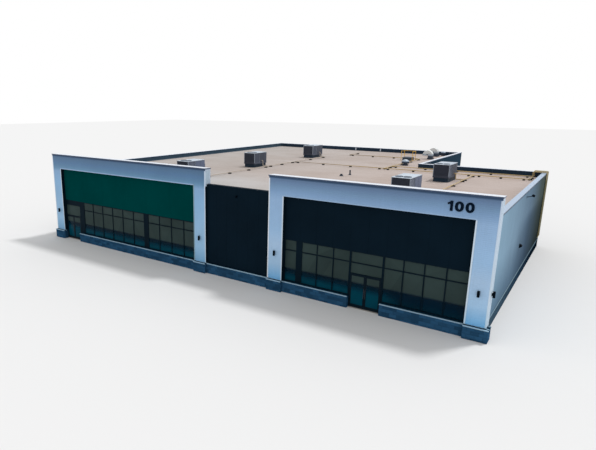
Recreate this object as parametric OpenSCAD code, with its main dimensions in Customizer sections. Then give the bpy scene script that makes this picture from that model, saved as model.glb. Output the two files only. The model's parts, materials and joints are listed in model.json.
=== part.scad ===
// Supermarket building with two store fronts, each under a tall clad portal frame.
// X runs along the front to the right, Y runs from the front to the rear, Z is up from the ground.

/* [Plan] */
// Width of the left portal frame over its two piers
left_portal_w = 17880; // [14000:10:22000]
// Width of the plain wall between the portal frames
middle_wall_w = 5310; // [3000:10:9000]
// Width of the right portal frame over its two piers
right_portal_w = 13450; // [10500:10:16000]
// Depth of the whole building, from portal face to rear wall face
building_d = 39540; // [34000:10:46000]
// Depth of the shallow part on the right
shallow_d = 23530; // [21500:10:28000]
// Width of the shallow part, from the right end of the front
shallow_w = 10690; // [8600:10:12000]

/* [Heights] */
// Top of the portal frames above the ground
portal_h = 7700; // [7200:10:8600]
// Underside of the portal headers
portal_head_z = 6410; // [6200:10:6800]
// Top of the low parapets
parapet_h = 6570; // [6350:10:6900]
// Top of the roof surface
roof_z = 6100; // [5800:10:6200]
// Underside of the fascia and sign band, over the store fronts
fascia_z = 3600; // [3450:10:4200]
// Top of the store front transom bars
transom_z = 2910; // [2700:10:3000]
// Top of the door headers
door_head_z = 2220; // [2100:10:2400]
// Top of the block plinth
plinth_h = 700; // [500:10:900]

/* [Walls] */
// Width of each portal pier
pier_w = 1110; // [800:10:1500]
// Depth of the portal frames, front to back
portal_d = 600; // [500:10:900]
// Thickness of the outer walls
wall_t = 300; // [200:10:400]
// How far the middle wall stands behind the portal faces
middle_setback = 200; // [100:10:300]
// How far the side wall stands in from the end of the portal
side_setback = 170; // [100:10:300]
// How far the party wall stands in from the end of the portal
party_setback = 140; // [100:10:300]
// How far the store fronts and panels stand behind the portal faces
recess_d = 300; // [200:10:400]
// Thickness of the floor above the ground line
floor_t = 60; // [40:10:120]
// Thickness of the roof deck
roof_t = 350; // [250:10:600]

/* [Plinth and copings] */
// How far the plinth stands forward of the pier faces
pier_plinth_out = 120; // [60:10:200]
// How far the plinth between the piers stands behind the portal faces
plinth_setback = 80; // [40:10:100]
// Thickness of the sill on the plinth
sill_t = 60; // [40:5:90]
// How far the sill stands out past the plinth
sill_out = 30; // [10:5:60]
// Height of the shadow gap between sill and cladding
shadow_gap = 40; // [20:5:80]
// Depth of the shadow gap
shadow_d = 60; // [30:5:90]
// Thickness of the metal copings
coping_t = 50; // [40:5:120]
// How far the copings stand out past the wall faces
coping_out = 30; // [10:5:60]
// How far the copings reach down over the wall faces
coping_leg = 25; // [15:5:120]
// Fall of a coping's top towards the roof
coping_fall = 15; // [5:1:30]
// Fall of a sill's top towards the front
sill_fall = 20; // [5:1:30]
// Open joint between two lengths of coping, sill, plinth or slab
joint_gap = 6; // [4:1:20]

/* [Portal cladding] */
// Width of the trims at the corners and round the openings
trim_w = 80; // [50:5:120]
// How far the trims stand out past the cladding between them
trim_t = 12; // [6:1:20]
// Thickness of the dark liners in the openings
liner_t = 8; // [4:1:12]
// Height of the shadow band under the portal copings
band_h = 150; // [100:5:250]
// Depth of the shadow band
band_d = 20; // [14:1:40]

/* [Store fronts] */
// Depth of the aluminium sections
frame_d = 115; // [90:5:150]
// Face width of the aluminium sections
frame_w = 60; // [45:5:90]
// Thickness of the glass units
glass_t = 26; // [12:2:40]
// Width of each door frame
door_frame_w = 2030; // [1900:10:2300]
// Distance of the right door frame from the left edge of its opening
right_door_offset = 4580; // [3800:10:5200]
// Width of the first window bay of the right store front
right_first_bay_w = 930; // [600:10:1200]
// Width of the clad post after that bay
right_post_w = 310; // [200:10:500]
// Number of window bays between that post and the right door
right_bays_a = 3; // [2:1:4]
// Number of window bays after the right door
right_bays_b = 4; // [2:1:5]
// Number of window bays next to the left entrance
left_bays_a = 6; // [3:1:8]
// Number of window bays next to the left portal's inner pier
left_bays_b = 4; // [2:1:6]
// Width of the clad column next to the left entrance
column_w = 500; // [300:10:700]
// Width of the clad post between the two groups of bays
post_w = 400; // [200:10:600]
// Underside of the closed panel over the left entrance
entrance_panel_z = 3150; // [3000:10:3300]

/* [Doors] */
// Thickness of a door leaf
leaf_t = 45; // [40:1:60]
// Width of the stiles and top rail of a leaf
stile_w = 90; // [60:5:125]
// Height of the bottom rail of a leaf
bottom_rail_h = 200; // [150:10:300]
// Running gap between a leaf and its frame
leaf_gap = 8; // [6:1:12]
// Running gap between the two leaves of a pair
meeting_gap = 10; // [9:1:16]
// Radius of the hinge knuckles
knuckle_r = 7; // [5:1:8]
// Length of one hinge knuckle
knuckle_len = 40; // [30:5:60]
// Distance of the hinge axis in front of the leaf face
hinge_out = 10; // [9:1:12]
// Gap between two knuckles on one pin
knuckle_gap = 0.3; // [0.2:0.1:0.5]
// Radius of the pull handles
pull_r = 13; // [10:1:18]
// Length of the pull handles
pull_len = 600; // [300:10:900]
// Distance of a pull handle's axis from the leaf
pull_out = 55; // [45:1:65]
// Height of the middle of the handles and push bars
pull_z = 1050; // [900:10:1150]
// Height of a push bar on the inside of a leaf
push_h = 60; // [40:5:90]
// Distance of a push bar's front from the leaf
push_out = 70; // [50:5:100]

/* [Roof units] */
// Width of a rooftop unit
unit_w = 1250; // [1000:10:1600]
// Length of a long rooftop unit
unit_l = 2450; // [2300:10:3000]
// Length of a short rooftop unit
short_unit_l = 2150; // [1900:10:2600]
// Height of a rooftop unit's casing
unit_h = 1080; // [900:10:1400]
// Height of the roof curb under a unit
curb_h = 320; // [200:10:450]
// How far a curb stands in under its unit
curb_in = 60; // [30:5:100]
// Height of the base rail under the casing
rail_h = 90; // [60:5:120]
// Length of the condenser section at the front end of a unit
coil_l = 950; // [750:10:1150]
// Width of the casing's posts beside the louvres
unit_post_w = 70; // [40:5:110]
// Depth of the louvres
louvre_d = 45; // [25:5:60]
// Pitch of the louvre blades
louvre_pitch = 76; // [50:1:120]
// Radius of the two fan openings on top
fan_r = 240; // [180:5:280]
// Depth of the fan wells
fan_well = 170; // [120:5:220]
// How far the intake hood stands out behind a unit
intake_d = 280; // [150:10:350]
// Distance from the front to the first unit over the left store
unit_1_y = 4000; // [3000:10:6000]
// Distance from the front to the second unit over the left store
unit_2_y = 13740; // [10000:10:16000]
// Distance from the front to the third unit over the left store
unit_3_y = 25800; // [22000:10:32000]
// Distance from the front to the first unit over the right store
unit_4_y = 5250; // [3000:10:8000]
// Distance from the front to the second unit over the right store
unit_5_y = 14950; // [11000:10:17000]
// Distance of a unit's gas inlet from its rear end
feed_in = 900; // [600:10:1100]
// Distance from the right end to the units over the left store
left_units_x = 25100; // [22000:50:28000]
// Distance from the right end to the units over the right store
right_units_x = 7370; // [5000:50:9000]

/* [Exhaust hoods] */
// Width of a gooseneck duct in the plane of its bend
duct_w = 450; // [300:10:550]
// Depth of a gooseneck duct across its bend
duct_d = 650; // [400:10:800]
// Thickness of the duct walls
duct_t = 15; // [8:1:20]
// Height of the straight duct under the bend
duct_rise = 480; // [300:10:600]
// Radius of the bend's centre line
duct_bend_r = 300; // [290:5:360]
// Distance of the hoods from the step in the rear wall
hood_step_x = 1910; // [1500:10:2600]
// Distance of the second hood to the left of the first one
hood_apart_x = 420; // [0:10:1500]
// Distance of the second hood behind the first one
hood_apart_y = 3940; // [2500:10:5000]
// Distance of the second hood from the rear face
hood_rear_y = 2400; // [1800:10:3500]

/* [Roof vents and hatch] */
// Radius of the front mushroom vent's cap
cap_r = 390; // [250:10:450]
// Height of the front mushroom vent
cap_h = 620; // [400:10:700]
// Distance of the front mushroom vent from the step wall
cap_step_x = 2140; // [1200:10:3000]
// Distance of the front mushroom vent behind the shallow part's rear face
cap_back_y = 1520; // [1000:10:2500]
// Radius of the rear mushroom vent's cap
rear_cap_r = 310; // [250:10:350]
// Distance of the rear mushroom vent from the step wall
rear_cap_step_x = 1900; // [1200:10:3000]
// Distance of the rear mushroom vent from the rear face
rear_cap_y = 950; // [750:10:1200]
// Radius of the vent stacks
stack_r = 60; // [40:5:90]
// Height of the tall vent stack
stack_h = 420; // [300:10:700]
// Distance of the tall vent stack to the left of the right portal
stack_x = 790; // [300:10:1500]
// Distance of the tall vent stack from the front
stack_y = 14510; // [10000:10:19000]
// Distance of the short vent stack in front of the tall one
stack_apart = 1120; // [500:10:2000]
// Width of the roof hatch
hatch_w = 1000; // [900:10:1400]
// Depth of the roof hatch, front to back
hatch_d = 850; // [700:10:1100]
// Distance of the hatch's middle from the step wall
hatch_step_x = 3590; // [3500:10:5000]
// Distance of the hatch's middle from the rear face
hatch_rear_y = 9080; // [9000:10:11000]
// Height of the roof hatch's curb
hatch_h = 300; // [200:10:400]
// Height of the railing round the hatch
hatch_rail_h = 1070; // [900:10:1200]
// Distance of the railing's axes from the hatch
hatch_rail_out = 120; // [110:5:160]
// Radius of the railing's posts
rail_post_r = 24; // [18:1:30]
// Radius of the railing's rails
rail_r = 19; // [12:1:22]

/* [Wall lights] */
// Height of the middle of the wall lights
light_z = 2600; // [2300:10:3000]
// Radius of a wall light
light_r = 70; // [60:5:120]
// Length of a wall light
light_h = 330; // [250:10:500]
// Distance of a wall light's axis from the wall
light_out = 120; // [100:5:180]

/* [Side wall lights] */
// Distance of the wall pack light from the front
pack_y = 10670; // [6000:10:16000]
// Height of the wall pack light's middle
pack_z = 2860; // [2200:10:4000]
// Width of the wall pack light
pack_w = 300; // [200:10:450]
// Distance of the floodlight from the front
flood_y = 10970; // [6000:10:16000]
// Height of the floodlight's arm on the wall
flood_z = 6150; // [5200:10:6250]
// Length of the floodlight's arm
flood_arm = 380; // [200:10:600]
// Width of the floodlight's head
flood_w = 320; // [200:10:450]

/* [Gas pipe] */
// Radius of the gas pipes on the roof
pipe_r = 35; // [20:1:60]
// Height of the pipe's axis above the roof
pipe_up = 130; // [100:5:200]
// Distance of the main pipe from the front
main_pipe_y = 20200; // [19000:50:20400]
// Distance of the rear run from the step wall
rear_pipe_x = 2610; // [2400:10:2700]
// Distance of the far run from the step wall
far_pipe_x = 11060; // [8000:10:14000]
// Distance of the far run's start from the rear face
far_pipe_y = 8040; // [7800:10:8100]
// Length of the far run
far_pipe_l = 2930; // [1500:10:5000]
// Distance of the header on the roof from the side parapet
header_in = 620; // [400:10:900]
// Distance of the branch pipes from the units that they feed
branch_gap = 800; // [500:10:1100]
// Height of a branch's riser beside a unit
unit_riser_h = 600; // [350:10:800]
// Number of risers that cross the side parapet
riser_count = 5; // [3:1:6]
// Spacing of those risers
riser_gap = 220; // [180:5:260]
// Height of the manifold at the foot of the risers
manifold_z = 1150; // [1000:10:1600]
// Radius of a bend's centre line
bend_r = 90; // [70:5:120]
// Clearance between a pipe and its fitting or support
fitting_gap = 0.3; // [0.2:0.1:0.5]
// Spacing of the pipe blocks
block_gap = 3200; // [1800:50:4000]
// Width of a pipe block, across the pipe
block_w = 300; // [200:10:400]

/* [Hidden] */
$fn = 48;
front_w = left_portal_w + middle_wall_w + right_portal_w;
xl = -front_w / 2;
xr = front_w / 2;
yf = -building_d / 2;
yr = building_d / 2;
// Ends of the portals and of their openings
x1 = xl + left_portal_w;
x2 = xr - right_portal_w;
lo0 = xl + pier_w;
lo1 = x1 - pier_w;
ro0 = x2 + pier_w;
ro1 = xr - pier_w;
// Inner and outer faces of the outer walls
party_x = xl + party_setback;
side_x = xr - side_setback;
step_x = xr - shallow_w;
y_back = yf + portal_d;
y_shallow = yf + shallow_d;
y_recess = yf + recess_d;
sill_z = plinth_h + sill_t;
clad_z = sill_z + shadow_gap;
plinth_y = yf + plinth_setback;
wall_top = parapet_h - coping_t;
portal_top = portal_h - coping_t;
// Store front bays
right_post_x = ro0 + right_first_bay_w;
right_bays_x = right_post_x + right_post_w;
right_door_x = ro0 + right_door_offset;
right_end_x = right_door_x + door_frame_w;
right_pitch_a = (right_door_x - right_bays_x) / right_bays_a;
right_pitch_b = (ro1 - right_end_x) / right_bays_b;
left_pitch = (lo1 - lo0 - door_frame_w - column_w - post_w) / (left_bays_a + left_bays_b);
left_door_x = lo0;
column_x = left_door_x + door_frame_w;
bays_a_x = column_x + column_w;
post_x = bays_a_x + left_bays_a * left_pitch;
bays_b_x = post_x + post_w;
// Ends of the plinth lengths under the piers and under the window bays
pier_plinths = [[xl - pier_plinth_out, lo0], [lo1, x1], [x2, ro0], [ro1, xr + pier_plinth_out]];
bay_plinths = [
    [column_x, lo1 - joint_gap], [ro0 + joint_gap, right_door_x], [right_end_x, ro1 - joint_gap]
];
// Door leaves
leaf_z = floor_t + leaf_gap;
leaf_h = door_head_z - frame_w - leaf_gap - leaf_z;
leaf_w = (door_frame_w - 2 * frame_w - 2 * leaf_gap - meeting_gap) / 2;
leaf_y = y_recess;
hinge_plate = 34;
hinge_z = [for (k = [0.12, 0.5, 0.88]) leaf_z + k * leaf_h];
// The rooftop units: their two rows, their front ends and their lengths
units_x = [xr - left_units_x, xr - right_units_x];
units_y = [for (y = [unit_1_y, unit_2_y, unit_3_y, unit_4_y, unit_5_y]) yf + y];
units_l = [short_unit_l, short_unit_l, unit_l, unit_l, unit_l];
// Rooftop unit parts
case_in = 8;
cover_t = 28;
cover_out = 15;
fan_ring_h = 40;
guard_r = 5;
panel_gap = 14;
// Gas pipe runs
pipe_z = roof_z + pipe_up;
fitting_r = pipe_r + 8;
socket_l = 70;
main_y = yf + main_pipe_y;
branches_x = [for (x = units_x) x + unit_w + branch_gap];
header_x = side_x - wall_t - header_in;
riser_x = side_x + 50 + pipe_r;
over_z = parapet_h + 60 + pipe_r;
first_riser_y = y_shallow - wall_t - 180;
// The rear run meets the header in the place of the fourth riser
rear_run_y = first_riser_y - 3 * riser_gap;
risers_y = [for (i = [0 : riser_count]) if (i != 3) first_riser_y - i * riser_gap];
last_riser_y = first_riser_y - riser_count * riser_gap;
rear_x = step_x - rear_pipe_x;
far_x = step_x - far_pipe_x;
far_y = yr - far_pipe_y;
far_end_y = far_y + far_pipe_l;
// Where the pipes reach the units, from unit 1 to unit 5
feeds_y = [for (i = [0 : 4]) units_y[i] + units_l[i] - feed_in];
block_end = 420;
block_l = 150;
block_span = [roof_z, pipe_z - pipe_r - fitting_gap];

// A box given by its two ends along each direction
module slab(x, y, z) {
    translate([x[0], y[0], z[0]])
        cube([x[1] - x[0], y[1] - y[0], z[1] - z[0]]);
}

// Carries a section drawn over Y and Z along X, from a to b
module along_x(a, b)
    translate([a, 0, 0])
        rotate([90, 0, 90])
            linear_extrude(height = b - a)
                children();

// Carries a section drawn over X and Z along Y, from a to b
module along_y(a, b)
    translate([0, b, 0])
        rotate([90, 0, 0])
            linear_extrude(height = b - a)
                children();

// A wall that stands on a sill, with a shadow gap under its cladding
module clad_wall(x, y, top) {
    slab(x, y, [clad_z, top]);
    slab([x[0] + shadow_d, x[1] - shadow_d], [y[0] + shadow_d, y[1] - shadow_d], [sill_z, clad_z]);
}

module floor_slab() color("#9c9a94") {
    z = [0, floor_t];
    y_panes = y_recess + frame_d;
    slab([party_x + wall_t, side_x - wall_t], [y_back + joint_gap, y_shallow - wall_t], z);
    slab([lo0, lo1], [y_panes, y_back], z);
    slab([ro0, ro1], [y_panes, y_back], z);
    // The floor comes forward at the two doors
    for (x = [left_door_x, right_door_x])
        slab([x, x + door_frame_w], [y_recess, y_panes - joint_gap], z);
    slab([party_x + wall_t, step_x - wall_t],
         [y_shallow - wall_t + joint_gap, yr - wall_t], z);
}

module roof_deck_front() color("#c4b3a4")
    slab([party_x + wall_t, side_x - wall_t], [y_back, y_shallow - wall_t], [roof_z - roof_t, roof_z]);

module roof_deck_rear() color("#c4b3a4")
    slab([party_x + wall_t, step_x - wall_t], [y_shallow - wall_t, yr - wall_t], [roof_z - roof_t, roof_z]);

// A portal pier from x = 0: the opening is on its right, the portal's end or the middle wall on its left
module pier_body(at_end) {
    z = [clad_z - 1, portal_head_z + 1];
    difference() {
        clad_wall([0, pier_w], [yf, y_back], portal_head_z);
        slab([trim_w, pier_w - trim_w], [yf - 1, yf + trim_t], z);
        slab([pier_w - liner_t, pier_w + 1], [yf + trim_t, y_recess], z);
        if (at_end)
            slab([-1, trim_t], [yf + trim_w, y_back - trim_w], z);
        else
            slab([-1, liner_t], [yf + trim_t, yf + middle_setback], z);
    }
}

// A pier placed from x, or its mirror image, which ends at x
module pier(x, flip, at_end) color("#a9b4c4")
    translate([x, 0, 0])
        mirror([flip, 0, 0])
            pier_body(at_end);

module left_portal_outer_pier() pier(xl, 0, true);
module left_portal_inner_pier() pier(x1, 1, false);
module right_portal_inner_pier() pier(x2, 0, false);
module right_portal_outer_pier() pier(xr, 1, true);

// A portal header: its cladding lies between trims, under a shadow band
module header(x) color("#a9b4c4") {
    z_band = portal_top - band_h;
    difference() {
        slab(x, [yf, y_back], [portal_head_z, portal_top]);
        slab([x[0] + trim_w, x[1] - trim_w], [yf - 1, yf + trim_t], [portal_head_z + trim_w, z_band]);
        // The piers' cladding runs on into the header
        for (x0 = [x[0], x[1] - pier_w])
            slab([x0 + trim_w, x0 + pier_w - trim_w], [yf - 1, yf + trim_t],
                 [portal_head_z - 1, portal_head_z + trim_w + 1]);
        // Cladding on the portal's ends
        for (x0 = [x[0] - 1, x[1] - trim_t])
            slab([x0, x0 + trim_t + 1], [yf + trim_w, y_back - trim_w], [portal_head_z - 1, z_band]);
        slab([x[0] - 1, x[1] + 1], [yf - 1, yf + band_d], [z_band, portal_top + 1]);
        slab([x[0] + pier_w, x[1] - pier_w], [yf + trim_t, y_recess],
             [portal_head_z - 1, portal_head_z + liner_t]);
    }
}

module left_portal_header() header([xl, x1]);
module right_portal_header() header([x2, xr]);

// Dark liners on the sides and soffits of the openings, and on the returns beside the middle wall
module reveal_liners() color("#10151c") {
    z = [clad_z, portal_head_z];
    for (x = [lo0 - liner_t, lo1, ro0 - liner_t, ro1])
        slab([x, x + liner_t], [yf + trim_t, y_recess], z);
    for (x = [x1 - liner_t, x2])
        slab([x, x + liner_t], [yf + trim_t, yf + middle_setback], z);
    for (x = [[lo0, lo1], [ro0, ro1]])
        slab([x[0] + joint_gap, x[1] - joint_gap], [yf + trim_t, y_recess],
             [portal_head_z, portal_head_z + liner_t]);
}

// The middle wall, with a dark capping that is folded down over its front only
module middle_wall() color("#15181d") {
    y = yf + middle_setback;
    d = y_back - y;
    clad_wall([x1, x2], [y, y_back], wall_top);
    translate([0, y, wall_top])
        along_x(x1 + joint_gap, x2 - joint_gap)
            polygon([
                [-coping_out, -coping_leg], [-coping_out, coping_t],
                [d, coping_t - coping_fall], [d, 0], [0, 0], [0, -coping_leg]
            ]);
}

module party_wall() color("#3c424c")
    slab([party_x, party_x + wall_t], [y_back, yr], [0, wall_top]);

module side_wall() color("#8c9db0")
    clad_wall([side_x - wall_t, side_x], [y_back, y_shallow - wall_t], wall_top);

module rear_wall_right() color("#8c9db0")
    clad_wall([step_x, side_x], [y_shallow - wall_t, y_shallow], wall_top);

module step_wall() color("#8c9db0")
    clad_wall([step_x - wall_t, step_x], [y_shallow - wall_t, yr - wall_t], wall_top);

module rear_wall_left() color("#8c9db0")
    clad_wall([party_x + wall_t, step_x], [yr - wall_t, yr], wall_top);

// Section of a folded metal coping over a wall w thick, with the outer face and the wall's top at 0
module coping_section(w)
    polygon([
        [-coping_out, -coping_leg], [-coping_out, coping_t],
        [w + coping_out, coping_t - coping_fall], [w + coping_out, -coping_leg],
        [w, -coping_leg], [w, 0], [0, 0], [0, -coping_leg]
    ]);

// A parapet coping from point p on the outer face, with the roof on its left, whose ends are
// mitred by s0 and s1: 1 and -1 at the two sides of an outer corner, 0 for a square end
module coping_run(p, turn, len, s0, s1) {
    y = [-coping_out - 1, wall_t + coping_out + 1];
    x0 = joint_gap / 2;
    x1 = len - joint_gap / 2;
    translate([p[0], p[1], wall_top])
        rotate([0, 0, turn])
            intersection() {
                along_x(-2 * wall_t, len + 2 * wall_t) coping_section(wall_t);
                translate([0, 0, -coping_leg - 1])
                    linear_extrude(height = coping_leg + coping_t + 2)
                        polygon([[x0 + s0 * y[0], y[0]], [x1 + s1 * y[0], y[0]],
                                 [x1 + s1 * y[1], y[1]], [x0 + s0 * y[1], y[1]]]);
            }
}

// The coping of a portal, closed at its two ends
module portal_coping(x) {
    translate([0, yf, portal_top])
        along_x(x[0] - coping_out, x[1] + coping_out) coping_section(portal_d);
    for (x0 = [x[0] - coping_out, x[1]])
        slab([x0, x0 + coping_out], [yf - coping_out, y_back + coping_out],
             [portal_top - coping_leg, portal_top]);
}

module portal_copings() color("#e8ebee") {
    portal_coping([xl, x1]);
    portal_coping([x2, xr]);
}

module parapet_copings() color("#dfe4e9") {
    coping_run([side_x, y_back], 90, y_shallow - y_back, 0, -1);
    coping_run([side_x, y_shallow], 180, side_x - step_x, 1, 1);
    coping_run([step_x, y_shallow], 90, yr - y_shallow, -1, -1);
    coping_run([step_x, yr], 180, step_x - party_x, 1, -1);
    coping_run([party_x, yr], 270, yr - y_back, 1, 0);
}

module front_plinth() color("#5d646e") {
    z = [0, plinth_h];
    for (x = pier_plinths)
        slab(x, [yf - pier_plinth_out, y_back], z);
    for (x = bay_plinths)
        slab(x, [plinth_y, y_recess + frame_d], z);
    slab([x1 + joint_gap, x2 - joint_gap], [plinth_y, y_back], z);
}

module side_plinth() color("#5d646e")
    slab([side_x - wall_t, side_x], [y_back, y_shallow - wall_t], [0, plinth_h]);

module rear_plinth() color("#5d646e") {
    z = [0, plinth_h];
    slab([step_x + joint_gap, side_x], [y_shallow - wall_t, y_shallow], z);
    slab([step_x - wall_t, step_x], [y_shallow - wall_t, yr - wall_t - joint_gap], z);
    slab([party_x + wall_t, step_x], [yr - wall_t, yr], z);
}

// Section of a sill from a to b, whose top falls over the widths fa and fb at its two edges
function sill_section(a, b, fa, fb) = concat(
    [[a, plinth_h], [b, plinth_h]],
    fb > 0 ? [[b, sill_z - sill_fall], [b - fb, sill_z]] : [[b, sill_z]],
    fa > 0 ? [[a + fa, sill_z], [a, sill_z - sill_fall]] : [[a, sill_z]]
);

// A sill whose top falls over fx at its left and right edges and over fy at its front and rear edges
module sill(x, y, fx, fy)
    intersection() {
        along_x(x[0], x[1]) polygon(sill_section(y[0], y[1], fy[0], fy[1]));
        along_y(y[0], y[1]) polygon(sill_section(x[0], x[1], fx[0], fx[1]));
    }

module plinth_sills() color("#c9d0d6") {
    nose = pier_plinth_out + sill_out;
    bay_nose = recess_d - plinth_setback + sill_out;
    out = sill_out;
    // On the piers' plinths, where the outer ones also stand out at the ends of the building
    sill([xl - nose, lo0], [yf - nose, y_back], [nose, 0], [nose, 0]);
    sill([lo1, x1], [yf - nose, y_back], [0, 0], [nose, 0]);
    sill([x2, ro0], [yf - nose, y_back], [0, 0], [nose, 0]);
    sill([ro1, xr + nose], [yf - nose, y_back], [0, nose], [nose, 0]);
    for (x = bay_plinths)
        sill(x, [plinth_y - out, y_recess + frame_d], [0, 0], [bay_nose, 0]);
    sill([x1 + joint_gap, x2 - joint_gap], [plinth_y - out, y_back], [0, 0],
         [middle_setback - plinth_setback + out, 0]);
    sill([side_x - wall_t, side_x + out], [y_back + joint_gap, y_shallow - wall_t - joint_gap],
         [0, out], [0, 0]);
    sill([step_x + out + joint_gap, side_x + out], [y_shallow - wall_t, y_shallow + out],
         [0, out], [0, out]);
    sill([step_x - wall_t, step_x + out], [y_shallow - wall_t, yr - wall_t - joint_gap],
         [0, out], [0, 0]);
    sill([party_x + wall_t, step_x + out], [yr - wall_t, yr + out], [0, out], [0, out]);
}

module sign_band() color("#0d3b31")
    slab([lo0, lo1], [y_recess, y_back], [fascia_z, portal_head_z]);

module fascia_panel() color("#14161b")
    slab([ro0, ro1], [y_recess, y_back], [fascia_z, portal_head_z]);

module storefront_columns() color("#101216") {
    slab([column_x, column_x + column_w], [y_recess, y_recess + frame_d], [sill_z, fascia_z]);
    slab([post_x, post_x + post_w], [y_recess, y_recess + frame_d], [sill_z, fascia_z]);
    slab([right_post_x, right_bays_x], [y_recess, y_recess + frame_d], [sill_z, fascia_z]);
}

// A row of window bays from x0, with a transom bar
module window_frame(x0, bays, pitch) {
    x_end = x0 + bays * pitch;
    y = [y_recess, y_recess + frame_d];
    slab([x0, x0 + frame_w], y, [sill_z, fascia_z]);
    slab([x_end - frame_w, x_end], y, [sill_z, fascia_z]);
    for (i = [1 : 1 : bays - 1])
        slab([x0 + i * pitch - frame_w / 2, x0 + i * pitch + frame_w / 2], y, [sill_z, fascia_z]);
    for (z = [sill_z, transom_z - frame_w, fascia_z - frame_w])
        slab([x0, x_end], y, [z, z + frame_w]);
}

// The panes of a row of window bays
module window_panes(x0, bays, pitch) {
    y = y_recess + (frame_d - glass_t) / 2;
    rows = [[sill_z + frame_w, transom_z - frame_w], [transom_z, fascia_z - frame_w]];
    for (i = [0 : bays - 1], z = rows) {
        from = x0 + i * pitch + frame_w / (i == 0 ? 1 : 2);
        to = x0 + (i + 1) * pitch - frame_w / (i == bays - 1 ? 1 : 2);
        slab([from, to], [y, y + glass_t], z);
    }
}

// Places what it is given at the hinge axis of each leaf of a pair
module at_hinges(x0) {
    for (side = [0, 1])
        translate([x0 + door_frame_w / 2, leaf_y - hinge_out, 0])
            mirror([side, 0, 0])
                translate([-(door_frame_w / 2 - frame_w - leaf_gap / 2), 0, 0])
                    children();
}

// A hinge knuckle on its axis, with the plate that carries it on the side of x
module knuckle(x, z) {
    translate([0, 0, z])
        cylinder(r = knuckle_r, h = knuckle_len);
    slab([min(x, 0), max(x, 0)], [-knuckle_r / 2, hinge_out], [z, z + knuckle_len]);
}

// The two outer knuckles of each hinge, carried by the door jamb
module jamb_knuckles()
    for (z = hinge_z, up = [knuckle_len / 2 + knuckle_gap, -1.5 * knuckle_len - knuckle_gap])
        knuckle(-hinge_plate, z + up);

// Frame of a door pair, with its hinge knuckles
module door_frame(x0, bars) {
    y = [y_recess, y_recess + frame_d];
    at_hinges(x0) jamb_knuckles();
    for (x = [x0, x0 + door_frame_w - frame_w])
        slab([x, x + frame_w], y, [floor_t, fascia_z]);
    for (z = bars)
        slab([x0, x0 + door_frame_w], y, z);
}

module left_door_frame() color("#101216")
    door_frame(left_door_x, [[door_head_z - frame_w, door_head_z], [entrance_panel_z, fascia_z]]);

module right_door_frame() color("#101216")
    door_frame(right_door_x, [[door_head_z - frame_w, door_head_z],
                              [transom_z - frame_w, transom_z], [fascia_z - frame_w, fascia_z]]);

module left_window_frames() color("#101216") {
    window_frame(bays_a_x, left_bays_a, left_pitch);
    window_frame(bays_b_x, left_bays_b, left_pitch);
}

module right_window_frames() color("#101216") {
    window_frame(ro0, 1, right_first_bay_w);
    window_frame(right_bays_x, right_bays_a, right_pitch_a);
    window_frame(right_end_x, right_bays_b, right_pitch_b);
}

// One pane over a door pair
module over_door_pane(x0, z) {
    y = y_recess + (frame_d - glass_t) / 2;
    slab([x0 + frame_w, x0 + door_frame_w - frame_w], [y, y + glass_t], z);
}

module left_storefront_glass() color("#2c3a40", 0.6) {
    window_panes(bays_a_x, left_bays_a, left_pitch);
    window_panes(bays_b_x, left_bays_b, left_pitch);
    over_door_pane(left_door_x, [door_head_z, entrance_panel_z]);
}

module right_storefront_glass() color("#2c3a40", 0.6) {
    window_panes(ro0, 1, right_first_bay_w);
    window_panes(right_bays_x, right_bays_a, right_pitch_a);
    window_panes(right_end_x, right_bays_b, right_pitch_b);
    over_door_pane(right_door_x, [door_head_z, transom_z - frame_w]);
    over_door_pane(right_door_x, [transom_z, fascia_z - frame_w]);
}

// A door leaf, from its hinge edge at x = 0
module leaf_frame() {
    difference() {
        slab([0, leaf_w], [0, leaf_t], [leaf_z, leaf_z + leaf_h]);
        slab([stile_w, leaf_w - stile_w], [-1, leaf_t + 1],
             [leaf_z + bottom_rail_h, leaf_z + leaf_h - stile_w]);
    }
    // The middle knuckle of each hinge
    translate([-leaf_gap / 2, -hinge_out, 0])
        for (z = hinge_z)
            knuckle(hinge_plate, z - knuckle_len / 2);
    pull_handle(leaf_w - stile_w / 2);
    push_bar();
}

// A straight pull handle on the outside of the stile at x
module pull_handle(x)
    translate([x, -pull_out, pull_z - pull_len / 2]) {
        cylinder(r = pull_r, h = pull_len);
        for (z = [0.15, 0.85])
            translate([0, 0, z * pull_len])
                rotate([-90, 0, 0])
                    cylinder(r = pull_r * 0.7, h = pull_out + 5);
    }

// A push bar across the inside, on a bracket at each stile
module push_bar() {
    y_bar = leaf_t + push_out;
    ends = [stile_w / 2, leaf_w - stile_w / 2];
    z = [pull_z - push_h / 2, pull_z + push_h / 2];
    along_x(ends[0], ends[1])
        polygon([[y_bar - push_h / 2, z[0]], [y_bar - 8, z[0]], [y_bar, z[0] + 8],
                 [y_bar, z[1] - 8], [y_bar - 8, z[1]], [y_bar - push_h / 2, z[1]]]);
    for (x = [ends[0], ends[1] - push_h])
        slab([x, x + push_h], [leaf_t, y_bar - push_h / 2], z);
}

module leaf_glass()
    slab([stile_w, leaf_w - stile_w], [(leaf_t - glass_t) / 2, (leaf_t + glass_t) / 2],
         [leaf_z + bottom_rail_h, leaf_z + leaf_h - stile_w]);

// Places a leaf in its pair: side 0 is hinged at the left, side 1 at the right
module in_pair(x0, side) {
    translate([x0 + door_frame_w / 2, leaf_y, 0])
        mirror([side, 0, 0])
            translate([-(door_frame_w / 2 - frame_w - leaf_gap), 0, 0])
                children();
}

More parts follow.
